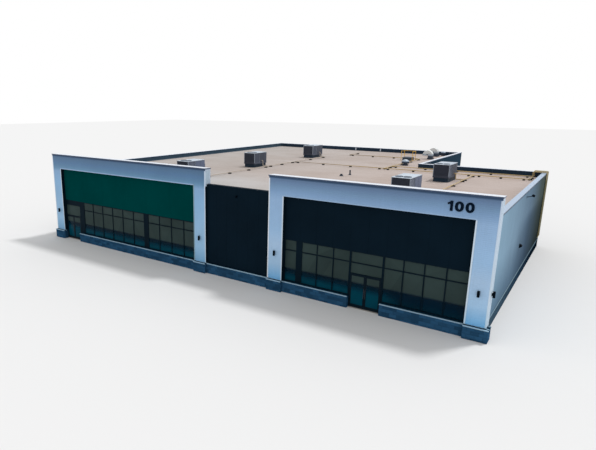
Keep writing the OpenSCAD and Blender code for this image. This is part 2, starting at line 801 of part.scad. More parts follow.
module left_door_left_leaf() color("#14171b") in_pair(left_door_x, 0) leaf_frame();
module left_door_left_glass() color("#2c3a40", 0.6) in_pair(left_door_x, 0) leaf_glass();
module left_door_right_leaf() color("#14171b") in_pair(left_door_x, 1) leaf_frame();
module left_door_right_glass() color("#2c3a40", 0.6) in_pair(left_door_x, 1) leaf_glass();
module right_door_left_leaf() color("#14171b") in_pair(right_door_x, 0) leaf_frame();
module right_door_left_glass() color("#2c3a40", 0.6) in_pair(right_door_x, 0) leaf_glass();
module right_door_right_leaf() color("#14171b") in_pair(right_door_x, 1) leaf_frame();
module right_door_right_glass() color("#2c3a40", 0.6) in_pair(right_door_x, 1) leaf_glass();

// Section of a louvre panel h high: blades that slope up and in, from the face at 0 to the depth louvre_d
module louvre_section(h) {
    n = floor(h / louvre_pitch);
    pitch = h / n;
    polygon(concat(
        [for (i = [0 : n - 1], p = [[0, 0], [0, 10], [louvre_d, pitch - 6], [louvre_d, pitch]])
            [p[0], i * pitch + p[1]]],
        [[louvre_d + 10, h], [louvre_d + 10, 0]]));
}

// A louvred opening w wide and h high in a casing wall that faces -Y
module louvre(w, h)
    along_x(0, w) louvre_section(h);

// One fan well: the cut-out
module fan_well_cut()
    translate([0, 0, -fan_well])
        cylinder(r = fan_r, h = fan_well + cover_t + 1);

// One fan: ring, guard, hub and four pitched blades
module fan() {
    z_guard = cover_t + fan_ring_h;
    translate([0, 0, cover_t - 2])
        difference() {
            cylinder(r = fan_r + 20, h = fan_ring_h);
            translate([0, 0, -1])
                cylinder(r = fan_r - 4, h = fan_ring_h + 2);
        }
    for (r = [0.3, 0.65] * fan_r)
        translate([0, 0, z_guard])
            rotate_extrude()
                translate([r, 0])
                    circle(r = guard_r);
    for (a = [0, 90])
        rotate([0, 0, a])
            translate([-fan_r - 12, 0, z_guard + (a == 0 ? -2 : 2)])
                rotate([0, 90, 0])
                    cylinder(r = guard_r + 1, h = 2 * fan_r + 24);
    translate([0, 0, -fan_well])
        cylinder(r = 65, h = fan_well - 20);
    for (a = [45 : 90 : 315])
        rotate([0, 0, a])
            translate([40, 0, -60])
                rotate([28, 0, 0])
                    translate([0, -65, -3])
                        cube([fan_r - 60, 130, 6]);
}

// The casing of a unit above its base rail, with its louvres and access panels
module unit_casing(l) {
    z1 = unit_h - cover_t;
    zl = [rail_h + 50, z1 - 50];
    x = [case_in, unit_w - case_in];
    y = [case_in, l - case_in];
    well = louvre_d + 10;
    difference() {
        slab(x, y, [rail_h, z1]);
        slab([unit_post_w, unit_w - unit_post_w], [0, case_in + well], zl);
        slab([0, case_in + well], [unit_post_w, coil_l - unit_post_w], zl);
        slab([unit_w - case_in - well, unit_w], [unit_post_w, coil_l - unit_post_w], zl);
        for (fx = [0.28, 0.72])
            translate([fx * unit_w, coil_l / 2, z1])
                fan_well_cut();
    }
    // Louvres at the front and at both sides of the condenser section
    translate([unit_post_w, case_in, zl[0]])
        louvre(unit_w - 2 * unit_post_w, zl[1] - zl[0]);
    translate([unit_w - case_in, unit_post_w, zl[0]])
        rotate([0, 0, 90])
            louvre(coil_l - 2 * unit_post_w, zl[1] - zl[0]);
    translate([case_in, coil_l - unit_post_w, zl[0]])
        rotate([0, 0, -90])
            louvre(coil_l - 2 * unit_post_w, zl[1] - zl[0]);
    // Two raised access panels on each side
    panel_l = (l - coil_l - 3 * panel_gap) / 2;
    for (side = [0, unit_w - case_in], i = [0, 1]) {
        y0 = coil_l + panel_gap + i * (panel_l + panel_gap);
        slab([side, side + case_in], [y0, y0 + panel_l], [rail_h + 20, z1 - 20]);
    }
}

// The cover on top, with its fan openings
module unit_cover(l) {
    z1 = unit_h - cover_t;
    difference() {
        slab([-cover_out, unit_w + cover_out], [-cover_out, l + cover_out], [z1, unit_h]);
        for (fx = [0.28, 0.72])
            translate([fx * unit_w, coil_l / 2, z1])
                fan_well_cut();
    }
    for (fx = [0.28, 0.72])
        translate([fx * unit_w, coil_l / 2, z1])
            fan();
}

// The base rail, with two lifting pockets in each long side
module unit_base(l)
    difference() {
        slab([0, unit_w], [0, l], [0, rail_h]);
        for (y = [0.25, 0.75] * l, x = [-1, unit_w - 29])
            slab([x, x + 30], [y - 110, y + 110], [20, rail_h - 20]);
    }

// The intake hood at the rear end, open below
module unit_intake(l) {
    z1 = unit_h - cover_t - 120;
    depth = intake_d + case_in;
    difference() {
        translate([0, l - case_in, 0])
            along_x(200, unit_w - 200)
                polygon([[0, rail_h + 260], [depth, rail_h + 260], [depth, z1 - 260], [0, z1]]);
        slab([220, unit_w - 220], [l + 20, l + intake_d - 20], [rail_h + 200, rail_h + 460]);
    }
}

// A rooftop unit l long on its curb, from its front left corner
module rooftop_unit(x, y, l) color("#4a4f57")
    translate([x, y, roof_z]) {
        slab([curb_in, unit_w - curb_in], [curb_in, l - curb_in], [0, curb_h]);
        slab([curb_in - 40, unit_w - curb_in + 40], [curb_in - 40, l - curb_in + 40], [0, 25]);
        translate([0, 0, curb_h]) {
            unit_base(l);
            unit_casing(l);
            unit_cover(l);
            unit_intake(l);
        }
    }

module rooftop_unit_1() rooftop_unit(units_x[0], units_y[0], units_l[0]);
module rooftop_unit_2() rooftop_unit(units_x[0], units_y[1], units_l[1]);
module rooftop_unit_3() rooftop_unit(units_x[0], units_y[2], units_l[2]);
module rooftop_unit_4() rooftop_unit(units_x[1], units_y[3], units_l[3]);
module rooftop_unit_5() rooftop_unit(units_x[1], units_y[4], units_l[4]);

// A rectangular duct section on the bend's centre line, grown by g
module duct_section(g)
    translate([duct_bend_r - duct_w / 2 - g, -duct_d / 2 - g])
        square([duct_w + 2 * g, duct_d + 2 * g]);

// A gooseneck hood: a curb, a straight duct, a half turn with raised seams, and a flanged open mouth
module gooseneck() {
    w = duct_w / 2;
    d = duct_d / 2;
    mouth_x = -2 * duct_bend_r;
    slab([-w - 60, w + 60], [-d - 60, d + 60], [0, 180]);
    slab([-w, w], [-d, d], [179, duct_rise]);
    difference() {
        union() {
            translate([-duct_bend_r, 0, duct_rise])
                rotate([90, 0, 0]) {
                    rotate_extrude(angle = 180)
                        duct_section(0);
                    for (a = [43, 88, 133])
                        rotate([0, 0, a])
                            rotate_extrude(angle = 4)
                                duct_section(14);
                }
            slab([mouth_x - w - 18, mouth_x + w + 18], [-d - 18, d + 18], [duct_rise - 60, duct_rise]);
        }
        slab([mouth_x - w + duct_t, mouth_x + w - duct_t], [-d + duct_t, d - duct_t],
             [duct_rise - 61, duct_rise + 50]);
    }
}

module exhaust_hoods() color("#c9ccc9") {
    x = step_x - hood_step_x;
    y = yr - hood_rear_y - hood_apart_y;
    for (i = [0, 1])
        translate([x - i * hood_apart_x, y + i * hood_apart_y, roof_z])
            gooseneck();
}

// A mushroom vent: a curb, a neck and a domed cap with a deep skirt
module mushroom_vent(r, h) {
    dome_r = 1.1 * r;
    dome_h = dome_r - sqrt(dome_r * dome_r - r * r);
    skirt_h = 0.24 * h;
    slab([-0.62 * r, 0.62 * r], [-0.62 * r, 0.62 * r], [0, 0.22 * h]);
    cylinder(r = 0.5 * r, h = h - dome_h);
    translate([0, 0, h - dome_h - skirt_h])
        cylinder(r1 = 0.94 * r, r2 = r, h = skirt_h);
    translate([0, 0, h - dome_h])
        intersection() {
            translate([0, 0, dome_h - dome_r])
                sphere(r = dome_r);
            cylinder(r = r - 12, h = dome_h);
        }
}

// A vent stack in its flashing
module stack(r, h) {
    cylinder(r = r, h = h);
    cylinder(r1 = 2.4 * r, r2 = r, h = 2 * r);
    translate([0, 0, h - r])
        cylinder(r = 1.3 * r, h = 0.8 * r);
}

module roof_vents() color("#b9bcc0") {
    translate([step_x - cap_step_x, y_shallow + cap_back_y, roof_z])
        mushroom_vent(cap_r, cap_h);
    translate([step_x - rear_cap_step_x, yr - rear_cap_y, roof_z])
        mushroom_vent(rear_cap_r, 0.9 * cap_h);
    translate([x2 - stack_x, yf + stack_y, roof_z])
        stack(stack_r, stack_h);
    translate([x2 - stack_x - 5 * stack_r, yf + stack_y - stack_apart, roof_z])
        stack(1.3 * stack_r, 0.45 * stack_h);
}

// A hipped lid section from -w to w, t high at its edges
function lid_section(w, t) = [[-w, 0], [w, 0], [w, t], [0.55 * w, 2 * t], [-0.55 * w, 2 * t], [-w, t]];

// Places what it is given at the middle of the hatch
module at_hatch()
    translate([step_x - hatch_step_x, yr - hatch_rear_y, roof_z])
        children();

module roof_hatch() color("#c6cbd0")
    at_hatch() {
        w = hatch_w / 2;
        d = hatch_d / 2;
        lap = 30;
        slab([-w - 35, w + 35], [-d - 35, d + 35], [0, 20]);
        slab([-w, w], [-d, d], [0, hatch_h]);
        translate([0, 0, hatch_h])
            intersection() {
                along_x(-w - lap, w + lap) polygon(lid_section(d + lap, 45));
                along_y(-d - lap, d + lap) polygon(lid_section(w + lap, 45));
            }
    }

// Railing on three sides of the hatch, whose posts stand on flanged feet
module hatch_railing() color("#e0a818")
    at_hatch() {
        x = [-1, 1] * (hatch_w / 2 + hatch_rail_out);
        y = [-1, 1] * (hatch_d / 2 + hatch_rail_out);
        cut = rail_post_r + fitting_gap;
        for (px = x, py = y)
            translate([px, py, 0]) {
                cylinder(r = rail_post_r, h = hatch_rail_h);
                cylinder(r = 3 * rail_post_r, h = 12);
            }
        for (z = [0.52, 0.95] * hatch_rail_h) {
            for (px = x)
                translate([px, y[0] + cut, z])
                    rotate([-90, 0, 0])
                        cylinder(r = rail_r, h = y[1] - y[0] - 2 * cut);
            translate([x[0] + cut, y[1], z])
                rotate([0, 90, 0])
                    cylinder(r = rail_r, h = x[1] - x[0] - 2 * cut);
        }
    }

// Unit vector from p to q
function towards(p, q) = (q - p) / norm(q - p);

// A straight pipe from p to q, held back by c0 and c1 at its ends
module pipe(p, q, c0, c1) {
    d = towards(p, q);
    translate(p + c0 * d)
        rotate([0, acos(d[2]), atan2(d[1], d[0])])
            cylinder(r = pipe_r, h = norm(q - p) - c0 - c1);
}

// A quarter bend at corner p, from direction d1 to direction d2
module bend(p, d1, d2) {
    steep = abs(d2[2]) > 0.5;
    x = steep ? d1 : -d2;
    y = steep ? -d2 : d1;
    z = cross(x, y);
    translate(p - bend_r * (x + y))
        rotate([atan2(y[2], z[2]), 0, atan2(x[1], x[0])])
            rotate_extrude(angle = 90)
                translate([bend_r, 0])
                    circle(r = fitting_r);
}

// Pipes and bends along a route of square corners, held back by c0 and c1 at its ends
module route(points, c0, c1) {
    last = len(points) - 2;
    c = bend_r + fitting_gap;
    for (i = [0 : last])
        pipe(points[i], points[i + 1], i == 0 ? c0 : c, i == last ? c1 : c);
    for (i = [1 : 1 : last])
        bend(points[i], towards(points[i - 1], points[i]), towards(points[i], points[i + 1]));
}

// A tee on a pipe that runs along d: its body, and a socket at each of the given sides
module tee(p, d, sides) {
    translate(p - 60 * d)
        rotate([0, acos(d[2]), atan2(d[1], d[0])])
            cylinder(r = fitting_r, h = 120);
    for (s = sides)
        translate(p)
            rotate([0, acos(s[2]), atan2(s[1], s[0])])
                cylinder(r = fitting_r, h = socket_l);
}

// A point on the pipes' level on the roof
function on_roof(x, y) = [x, y, pipe_z];

// The pipe beside a unit, from its branch up and into the unit's side
function feed(i, y) = let (side = units_x[i] + unit_w, z = roof_z + unit_riser_h)
    [on_roof(branches_x[i], y), on_roof(side + 160, y), [side + 160, y, z], [side, y, z]];

// The same points from the unit back to the branch
function back_feed(i, y) = let (p = feed(i, y)) [p[3], p[2], p[1], p[0]];

// From the header over the parapet and down the side wall
function riser(y) = [
    on_roof(header_x, y), [header_x, y, over_z], [riser_x, y, over_z], [riser_x, y, manifold_z]
];

module gas_pipe() color("#d9a72a") {
    left = branches_x[0];
    right = branches_x[1];
    off = socket_l + fitting_gap;
    along = [0, 1, 0];
    across = [1, 0, 0];
    // Branch beside units 1 to 3, with its ends turned to the outer two
    route(concat(back_feed(0, feeds_y[0]), feed(0, feeds_y[2])), fitting_gap, fitting_gap);
    tee(on_roof(left, feeds_y[1]), along, [-across]);
    route(feed(0, feeds_y[1]), off, fitting_gap);
    tee(on_roof(left, main_y), along, [across]);
    // Branch beside units 4 and 5, from the main
    route(concat(back_feed(1, feeds_y[3]), [on_roof(right, main_y)]), fitting_gap, off);
    tee(on_roof(right, feeds_y[4]), along, [-across]);
    route(feed(1, feeds_y[4]), off, fitting_gap);
    // Main, header, and the first riser at the header's end
    route(concat([on_roof(left, main_y), on_roof(header_x, main_y)], riser(first_riser_y)), off, off);
    tee(on_roof(right, main_y), across, [-along]);
    tee(on_roof(rear_x, main_y), across, [along]);
    tee(on_roof(header_x, rear_run_y), along, [-across]);
    for (y = risers_y) {
        if (y != first_riser_y) {
            tee(on_roof(header_x, y), along, [[0, 0, 1]]);
            route(riser(y), off, off);
        }
        tee([riser_x, y, manifold_z], along, [[0, 0, 1]]);
    }
    pipe([riser_x, last_riser_y - 200, manifold_z], [riser_x, first_riser_y + 200, manifold_z], 0, 0);
    // Rear runs
    route([on_roof(rear_x, main_y), on_roof(rear_x, far_y), on_roof(far_x, far_y),
           on_roof(far_x, far_end_y)], off, 0);
    tee(on_roof(rear_x, rear_run_y), along, [across]);
    route([on_roof(rear_x, rear_run_y), on_roof(header_x, rear_run_y)], off, off);
    tee(on_roof(far_x, far_end_y), along, []);
}

// Places of blocks between two fittings at a and b
function spots(a, b) = let (l = b - a - 2 * block_end, n = max(1, ceil(l / block_gap)))
    l < 0 ? [] : [for (i = [0 : n]) a + block_end + i * l / n];

// Blocks under a pipe that runs along X or Y
module blocks_along_x(a, b, y)
    for (x = spots(a, b))
        slab([x - block_l / 2, x + block_l / 2], [y - block_w / 2, y + block_w / 2], block_span);

module blocks_along_y(a, b, x)
    for (y = spots(a, b))
        slab([x - block_w / 2, x + block_w / 2], [y - block_l / 2, y + block_l / 2], block_span);

module pipe_blocks() color("#22252a") {
    left = branches_x[0];
    right = branches_x[1];
    blocks_along_y(feeds_y[0], feeds_y[1], left);
    blocks_along_y(feeds_y[1], main_y, left);
    blocks_along_y(main_y, feeds_y[2], left);
    blocks_along_y(feeds_y[3], feeds_y[4], right);
    blocks_along_y(feeds_y[4], main_y, right);
    blocks_along_x(left, rear_x, main_y);
    blocks_along_x(rear_x, right, main_y);
    blocks_along_x(right, header_x, main_y);
    blocks_along_y(main_y, last_riser_y, header_x);
    blocks_along_y(main_y, rear_run_y, rear_x);
    blocks_along_y(rear_run_y, far_y, rear_x);
    blocks_along_x(rear_x, header_x, rear_run_y);
    blocks_along_x(far_x, rear_x, far_y);
    blocks_along_y(far_y, far_end_y, far_x);
    // Rails that hold the risers off the side wall
    for (z = [manifold_z + 450, (manifold_z + parapet_h) / 2, parapet_h - 450])
        slab([side_x, riser_x - pipe_r - fitting_gap], [last_riser_y - 80, first_riser_y + 80],
             [z - 20, z + 20]);
}

// An up and down light on a wall that faces -Y, from a point on the wall
module cylinder_light() {
    slab([-light_r / 2, light_r / 2], [-light_out, 0], [-light_r, light_r]);
    translate([0, -light_out, -light_h / 2])
        cylinder(r = light_r, h = light_h);
}

// A wall pack light on a wall that faces +X, with a sloped lens below
module wall_pack()
    along_y(-pack_w / 2, pack_w / 2)
        polygon([[0, -110], [0, 110], [70, 110], [180, 40], [180, -10], [70, -110]]);

// A floodlight on an arm from a wall that faces +X
module floodlight() {
    slab([0, 12], [-60, 60], [-80, 80]);
    translate([9, 0, 0])
        rotate([0, 75, 0])
            cylinder(r = 22, h = flood_arm);
    translate([flood_arm * cos(15), 0, flood_arm * sin(15)])
        rotate([0, 20, 0]) {
            slab([-90, 90], [-flood_w / 2, flood_w / 2], [-25, 55]);
            for (y = [-flood_w / 2 + 20 : 40 : flood_w / 2 - 20])
                slab([-80, 80], [y - 4, y + 4], [54, 85]);
        }
}

module wall_lights() color("#101216") {
    for (x = [xl + pier_w / 2, x1 - pier_w / 2, x2 + pier_w / 2, xr - pier_w / 2])
        translate([x, yf + trim_t, light_z])
            cylinder_light();
    translate([xr - trim_t, yf + portal_d / 2, light_z])
        rotate([0, 0, 90])
            cylinder_light();
    translate([side_x, yf + pack_y, pack_z])
        wall_pack();
    translate([side_x, yf + flood_y, flood_z])
        floodlight();
}

floor_slab();
roof_deck_front();
roof_deck_rear();
left_portal_outer_pier();
left_portal_inner_pier();
left_portal_header();
right_portal_inner_pier();
right_portal_outer_pier();
right_portal_header();
middle_wall();
party_wall();
side_wall();
rear_wall_right();
step_wall();
rear_wall_left();
portal_copings();
parapet_copings();
front_plinth();
side_plinth();
rear_plinth();
plinth_sills();
sign_band();
fascia_panel();
storefront_columns();
left_window_frames();
left_door_frame();
left_storefront_glass();
right_window_frames();
right_door_frame();
right_storefront_glass();
left_door_left_leaf();
left_door_left_glass();
left_door_right_leaf();
left_door_right_glass();
right_door_left_leaf();
right_door_left_glass();
right_door_right_leaf();
right_door_right_glass();
rooftop_unit_1();
rooftop_unit_2();
rooftop_unit_3();
rooftop_unit_4();
rooftop_unit_5();
exhaust_hoods();
roof_vents();
roof_hatch();
hatch_railing();
gas_pipe();
pipe_blocks();
reveal_liners();
wall_lights();
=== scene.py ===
import json
import math

import bpy
from mathutils import Matrix, Vector


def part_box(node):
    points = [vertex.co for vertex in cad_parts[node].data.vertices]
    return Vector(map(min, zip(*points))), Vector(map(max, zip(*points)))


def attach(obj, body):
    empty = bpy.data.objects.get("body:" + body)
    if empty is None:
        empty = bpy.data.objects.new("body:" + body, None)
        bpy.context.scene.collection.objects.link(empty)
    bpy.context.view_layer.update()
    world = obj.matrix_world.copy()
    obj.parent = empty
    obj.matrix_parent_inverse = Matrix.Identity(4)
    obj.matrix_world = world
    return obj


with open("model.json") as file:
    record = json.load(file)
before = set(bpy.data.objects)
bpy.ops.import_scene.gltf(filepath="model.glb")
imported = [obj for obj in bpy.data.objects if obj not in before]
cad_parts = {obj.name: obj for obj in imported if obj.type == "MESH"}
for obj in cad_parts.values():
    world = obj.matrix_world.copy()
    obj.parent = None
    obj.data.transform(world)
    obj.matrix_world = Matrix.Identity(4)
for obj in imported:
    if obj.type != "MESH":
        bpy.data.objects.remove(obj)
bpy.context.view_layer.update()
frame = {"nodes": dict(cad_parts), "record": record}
BUILDING = "building"

# Main lines of the building in metres, taken from its own solids. XL to X1 is the left portal and X2 to XR
# the right one, and LO0 to LO1 and RO0 to RO1 are the openings between their piers.
left_lo, left_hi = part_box("left_portal_header")
right_lo, right_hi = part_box("right_portal_header")
XL, X1, X2, XR = left_lo.x, left_hi.x, right_lo.x, right_hi.x
FRONT, BACK = left_lo.y, left_hi.y
HEAD, PORTAL_TOP = left_lo.z, left_hi.z
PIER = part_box("left_portal_outer_pier")[1].x - XL
LO0, LO1, RO0, RO1 = XL + PIER, X1 - PIER, X2 + PIER, XR - PIER
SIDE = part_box("side_wall")[1].x
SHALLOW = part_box("rear_wall_right")[1].y
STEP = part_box("step_wall")[1].x
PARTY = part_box("party_wall")[0].x
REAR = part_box("rear_wall_left")[1].y
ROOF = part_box("roof_deck_front")[1].z
WALL_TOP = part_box("side_wall")[1].z
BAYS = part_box("left_door_frame")[1].x
DOOR_LO, DOOR_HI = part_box("right_door_frame")

# Sizes of the cladding and the walls
CLAD = 0.80  # foot of the cladding and the panels
CLAD_TOP = 7.6  # where the tints that change with height end
TRIM = 0.08  # width of the portals' corner trims
BAND = 0.15  # height of the shadow strip under a portal's coping
WALL = 0.30  # thickness of the outer walls
NOSE = 0.12  # how far the plinth stands out in front of the piers
COPING_LEG = 0.027  # how far the copings hang down over the walls
LEG_FOOT = WALL_TOP - COPING_LEG
PORTAL_LEG_FOOT = PORTAL_TOP - COPING_LEG
STORE_FACE = FRONT + 0.30  # doors and window frames
PLINTH_FACE = FRONT + 0.08  # plinth under the windows and the middle wall
MIDDLE_FACE = FRONT + 0.20  # middle wall

# Sizes of the rooftop units
LIFT = 0.32  # height of the curb
UNIT_W = 1.25  # width of the casing
COIL = 0.95  # length of the louvred front part
COVER_FOOT = ROOF + 1.372
COVER_TOP = ROOF + 1.40


# Handling of pieces

def let_go():
    """Leaves edit mode and selects nothing."""
    if bpy.context.object and bpy.context.object.mode != "OBJECT":
        bpy.ops.object.mode_set(mode="OBJECT")
    bpy.ops.object.select_all(action="DESELECT")


def hold(piece):
    """Makes one piece the active and only selected one."""
    let_go()
    piece.select_set(True)
    bpy.context.view_layer.objects.active = piece


def seat(piece):
    """Puts a piece's place, turn and size into its mesh."""
    hold(piece)
    bpy.ops.object.transform_apply(location=True, rotation=True, scale=True)
    return piece


def block(lo, hi):
    """A block between two corners."""
    let_go()
    bpy.ops.mesh.primitive_cube_add(size=1, location=[(a + b) / 2 for a, b in zip(lo, hi)])
    piece = bpy.context.object
    piece.scale = [b - a for a, b in zip(lo, hi)]
    return seat(piece)


def slab(axis, run, depth, rise):
    """A block that runs along X or Y, from its spans of length, depth and height."""
    spans = (run, depth, rise) if axis == "x" else (depth, run, rise)
    return block([span[0] for span in spans], [span[1] for span in spans])


def outward(axis, out):
    """The direction in which a face looks, where the face runs along X or Y."""
    return (0, out, 0) if axis == "x" else (out, 0, 0)


def stride(axis, size):
    """A step of a size along X or Y."""
    return (size, 0, 0) if axis == "x" else (0, size, 0)


def shares(a, b, wide):
    """How many equal parts of about a width fit from a to b, and the size of each."""
    count = max(1, round((b - a) / wide))
    return count, (b - a) / count


def rod(start, end, radius, sides=16):
    """A round bar from one point to another."""
    let_go()
    start, end = Vector(start), Vector(end)
    line = end - start
    turn = line.to_track_quat("Z", "Y").to_euler()
    bpy.ops.mesh.primitive_cylinder_add(vertices=sides, radius=radius, depth=line.length,
                                        location=(start + end) / 2, rotation=turn)
    return seat(bpy.context.object)


def pick(piece, direction):
    """Opens a piece for editing with the faces that look along a direction selected."""
    hold(piece)
    bpy.ops.object.mode_set(mode="EDIT")
    bpy.ops.mesh.select_mode(type="FACE")
    bpy.ops.mesh.select_all(action="DESELECT")
    bpy.ops.object.mode_set(mode="OBJECT")
    for face in piece.data.polygons:
        face.select = face.normal.dot(Vector(direction)) > 0.9
    bpy.ops.object.mode_set(mode="EDIT")


def raise_field(piece, direction, margin, height):
    """Insets the faces on one side and moves the field out, which slopes its edges."""
    pick(piece, direction)
    bpy.ops.mesh.inset(thickness=margin, use_even_offset=True)
    bpy.ops.transform.translate(value=Vector(direction) * height)
    bpy.ops.object.mode_set(mode="OBJECT")
    return piece


def narrow_top(piece, factors, about):
    """Draws in the top faces about a point."""
    pick(piece, (0, 0, 1))
    bpy.ops.transform.resize(value=factors, center_override=about)
    bpy.ops.object.mode_set(mode="OBJECT")
    return piece


def ease(piece, width):
    """Bevels every edge."""
    hold(piece)
    bpy.ops.object.mode_set(mode="EDIT")
    bpy.ops.mesh.select_all(action="SELECT")
    bpy.ops.mesh.bevel(offset=width, segments=1, affect="EDGES")
    bpy.ops.object.mode_set(mode="OBJECT")
    return piece


def repeat(piece, step, count):
    """Repeats a piece in a row."""
    if count > 1:
        hold(piece)
        row = piece.modifiers.new("row", "ARRAY")
        row.count = count
        row.use_relative_offset = False
        row.use_constant_offset = True
        row.constant_offset_displace = step
        bpy.ops.object.modifier_apply(modifier=row.name)
    return piece


def gather(pieces):
    """Joins pieces into one."""
    hold(pieces[0])
    for piece in pieces[1:]:
        piece.select_set(True)
    if len(pieces) > 1:
        bpy.ops.object.join()
    return bpy.context.object


def fit(piece, name, finish, body=BUILDING):
    """Names a finished piece, gives it its finish and fixes it to its body."""
    piece.name = piece.data.name = name
    piece.data.materials.clear()
    piece.data.materials.append(finish)
    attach(piece, body)
    return piece


# Tones, patterns and masks that the finishes are made of

def grey(level):
    """A tone that is equal in red, green and blue."""
    return (level, level, level)


WHITE = grey(1.0)


def shade(colour, factor):
    """A colour made lighter or darker."""
    return tuple(min(1.0, c * factor) for c in colour)


def nodes_for(name):
    """A new material with its node tree and its shader."""
    finish = bpy.data.materials.new(name)
    finish.use_nodes = True
    tree = finish.node_tree
    return finish, tree, tree.nodes["Principled BSDF"]


def noise(tree, scale, detail=4.0, stretch=(1, 1, 1)):
    """Noise over the object's own coordinates."""
    place = tree.nodes.new("ShaderNodeTexCoord")
    size = tree.nodes.new("ShaderNodeMapping")
    size.inputs["Scale"].default_value = stretch
    grain = tree.nodes.new("ShaderNodeTexNoise")
    grain.inputs["Scale"].default_value = scale
    grain.inputs["Detail"].default_value = detail
    tree.links.new(place.outputs["Object"], size.inputs["Vector"])
    tree.links.new(size.outputs["Vector"], grain.inputs["Vector"])
    return grain.outputs["Fac"]


def spread_over(tree, vector, axis, start, end):
    """How far a vector's X, Y or Z lies from start to end, from 0 to 1."""
    parts = tree.nodes.new("ShaderNodeSeparateXYZ")
    span = tree.nodes.new("ShaderNodeMapRange")
    span.inputs["From Min"].default_value = start
    span.inputs["From Max"].default_value = end
    tree.links.new(vector, parts.inputs["Vector"])
    tree.links.new(parts.outputs[axis], span.inputs["Value"])
    return span.outputs["Result"]


def along(tree, axis, start, end):
    """How far a point lies from start to end along X, Y or Z, from 0 to 1."""
    return spread_over(tree, tree.nodes.new("ShaderNodeTexCoord").outputs["Object"], axis, start, end)


def facing(tree, axis, low, high):
    """How far a face looks along X, Y or Z: 0 at low and 1 at high."""
    return spread_over(tree, tree.nodes.new("ShaderNodeNewGeometry").outputs["Normal"], axis, low, high)


def beyond(tree, axis, place, soft):
    """1 beyond a place and 0 before it, with a soft edge, or turned round where soft is negative."""
    return along(tree, axis, place - soft, place + soft)


def ramp(tree, value, stops):
    """Colours for a value from 0 to 1."""
    scale = tree.nodes.new("ShaderNodeValToRGB")
    bar = scale.color_ramp
    bar.elements[0].position, bar.elements[0].color = stops[0][0], (*stops[0][1], 1)
    bar.elements[1].position, bar.elements[1].color = stops[-1][0], (*stops[-1][1], 1)
    for at, colour in stops[1:-1]:
        bar.elements.new(at).color = (*colour, 1)
    tree.links.new(value, scale.inputs["Fac"])
    return scale.outputs["Color"]


def heights(stops, low=CLAD, high=CLAD_TOP):
    """A tint that changes with height, from stops of height and colour."""
    scaled = [((z - low) / (high - low), colour) for z, colour in stops]
    return lambda tree: ramp(tree, along(tree, "Z", low, high), scaled)


def mottle(tree, value, dark, low=0.3, high=0.7):
    """Patches of a noise: dark up to low and untouched from high on."""
    return ramp(tree, value, [(low, dark), (high, WHITE)])


def blend(tree, share, first, second, kind="MIX"):
    """Mixes two colours by a share."""
    mixer = tree.nodes.new("ShaderNodeMix")
    mixer.data_type = "RGBA"
    mixer.blend_type = kind
    for number, value in ((0, share), (6, first), (7, second)):
        socket = mixer.inputs[number]
        if hasattr(value, "links"):
            tree.links.new(value, socket)
        elif isinstance(value, (int, float)):
            socket.default_value = value
        else:
            socket.default_value = (*value, 1)
    return mixer.outputs[2]


def times(tree, *tones):
    """Colours or masks multiplied together."""
    result = tones[0]
    for tone in tones[1:]:
        result = blend(tree, 1.0, result, tone, "MULTIPLY")
    return result


def either(tree, first, second):
    """The brighter of two masks."""
    return blend(tree, 1.0, first, second, "LIGHTEN")


def rough_skin(tree, shader, value, depth, distance):
    """Bump from a noise value."""
    bump = tree.nodes.new("ShaderNodeBump")
    bump.inputs["Strength"].default_value = depth
    bump.inputs["Distance"].default_value = distance
    tree.links.new(value, bump.inputs["Height"])
    tree.links.new(bump.outputs["Normal"], shader.inputs["Normal"])


def base_tone(tree, colour, spread):
    """The tone under a pattern that takes away up to twice the spread: a tint, or a plain colour."""
    return colour(tree) if callable(colour) else shade(colour, 1 + spread)


# Kinds of finish

def painted(name, colour, roughness, gloss, spread, streaks=0.0, metal=0.0):
    """Coated sheet: broad unevenness, fine speckle and faint rain streaks over a colour or a tint."""
    finish, tree, shader = nodes_for(name)
    speckle = noise(tree, scale=28, detail=5)
    broad = mottle(tree, noise(tree, scale=0.35, detail=3), grey(1 - 2 * spread))
    tone = times(tree, base_tone(tree, colour, spread), broad, mottle(tree, speckle, grey(0.96), 0.35, 0.65))
    if streaks:
        drawn_out = noise(tree, scale=2.2, detail=6, stretch=(6, 6, 0.25))
        tone = times(tree, tone, ramp(tree, drawn_out, [(0.45, WHITE), (0.75, grey(1 - streaks))]))
    tree.links.new(tone, shader.inputs["Base Color"])
    shader.inputs["Metallic"].default_value = metal
    shader.inputs["Specular IOR Level"].default_value = gloss
    wear = tree.nodes.new("ShaderNodeMapRange")
    wear.inputs["To Min"].default_value = max(0.05, roughness - 0.06)
    wear.inputs["To Max"].default_value = roughness + 0.08
    tree.links.new(speckle, wear.inputs["Value"])
    tree.links.new(wear.outputs["Result"], shader.inputs["Roughness"])
    rough_skin(tree, shader, speckle, depth=0.15, distance=0.002)
    return finish


def masonry(name, colour, grain, depth, spread):
    """Stone, block or render: coarse and fine grain, each unit its own tone."""
    finish, tree, shader = nodes_for(name)
    unit = tree.nodes.new("ShaderNodeNewGeometry").outputs["Random Per Island"]
    own = ramp(tree, unit, [(0.0, grey(1 - 2 * spread)), (0.5, grey(1 - spread)), (1.0, WHITE)])
    coarse = noise(tree, grain, detail=6)
    tone = times(tree, base_tone(tree, colour, spread), own, mottle(tree, coarse, grey(0.82)))
    tree.links.new(tone, shader.inputs["Base Color"])
    shader.inputs["Roughness"].default_value = 0.88
    shader.inputs["Specular IOR Level"].default_value = 0.0
    rough_skin(tree, shader, coarse, depth, distance=0.01)
    return finish


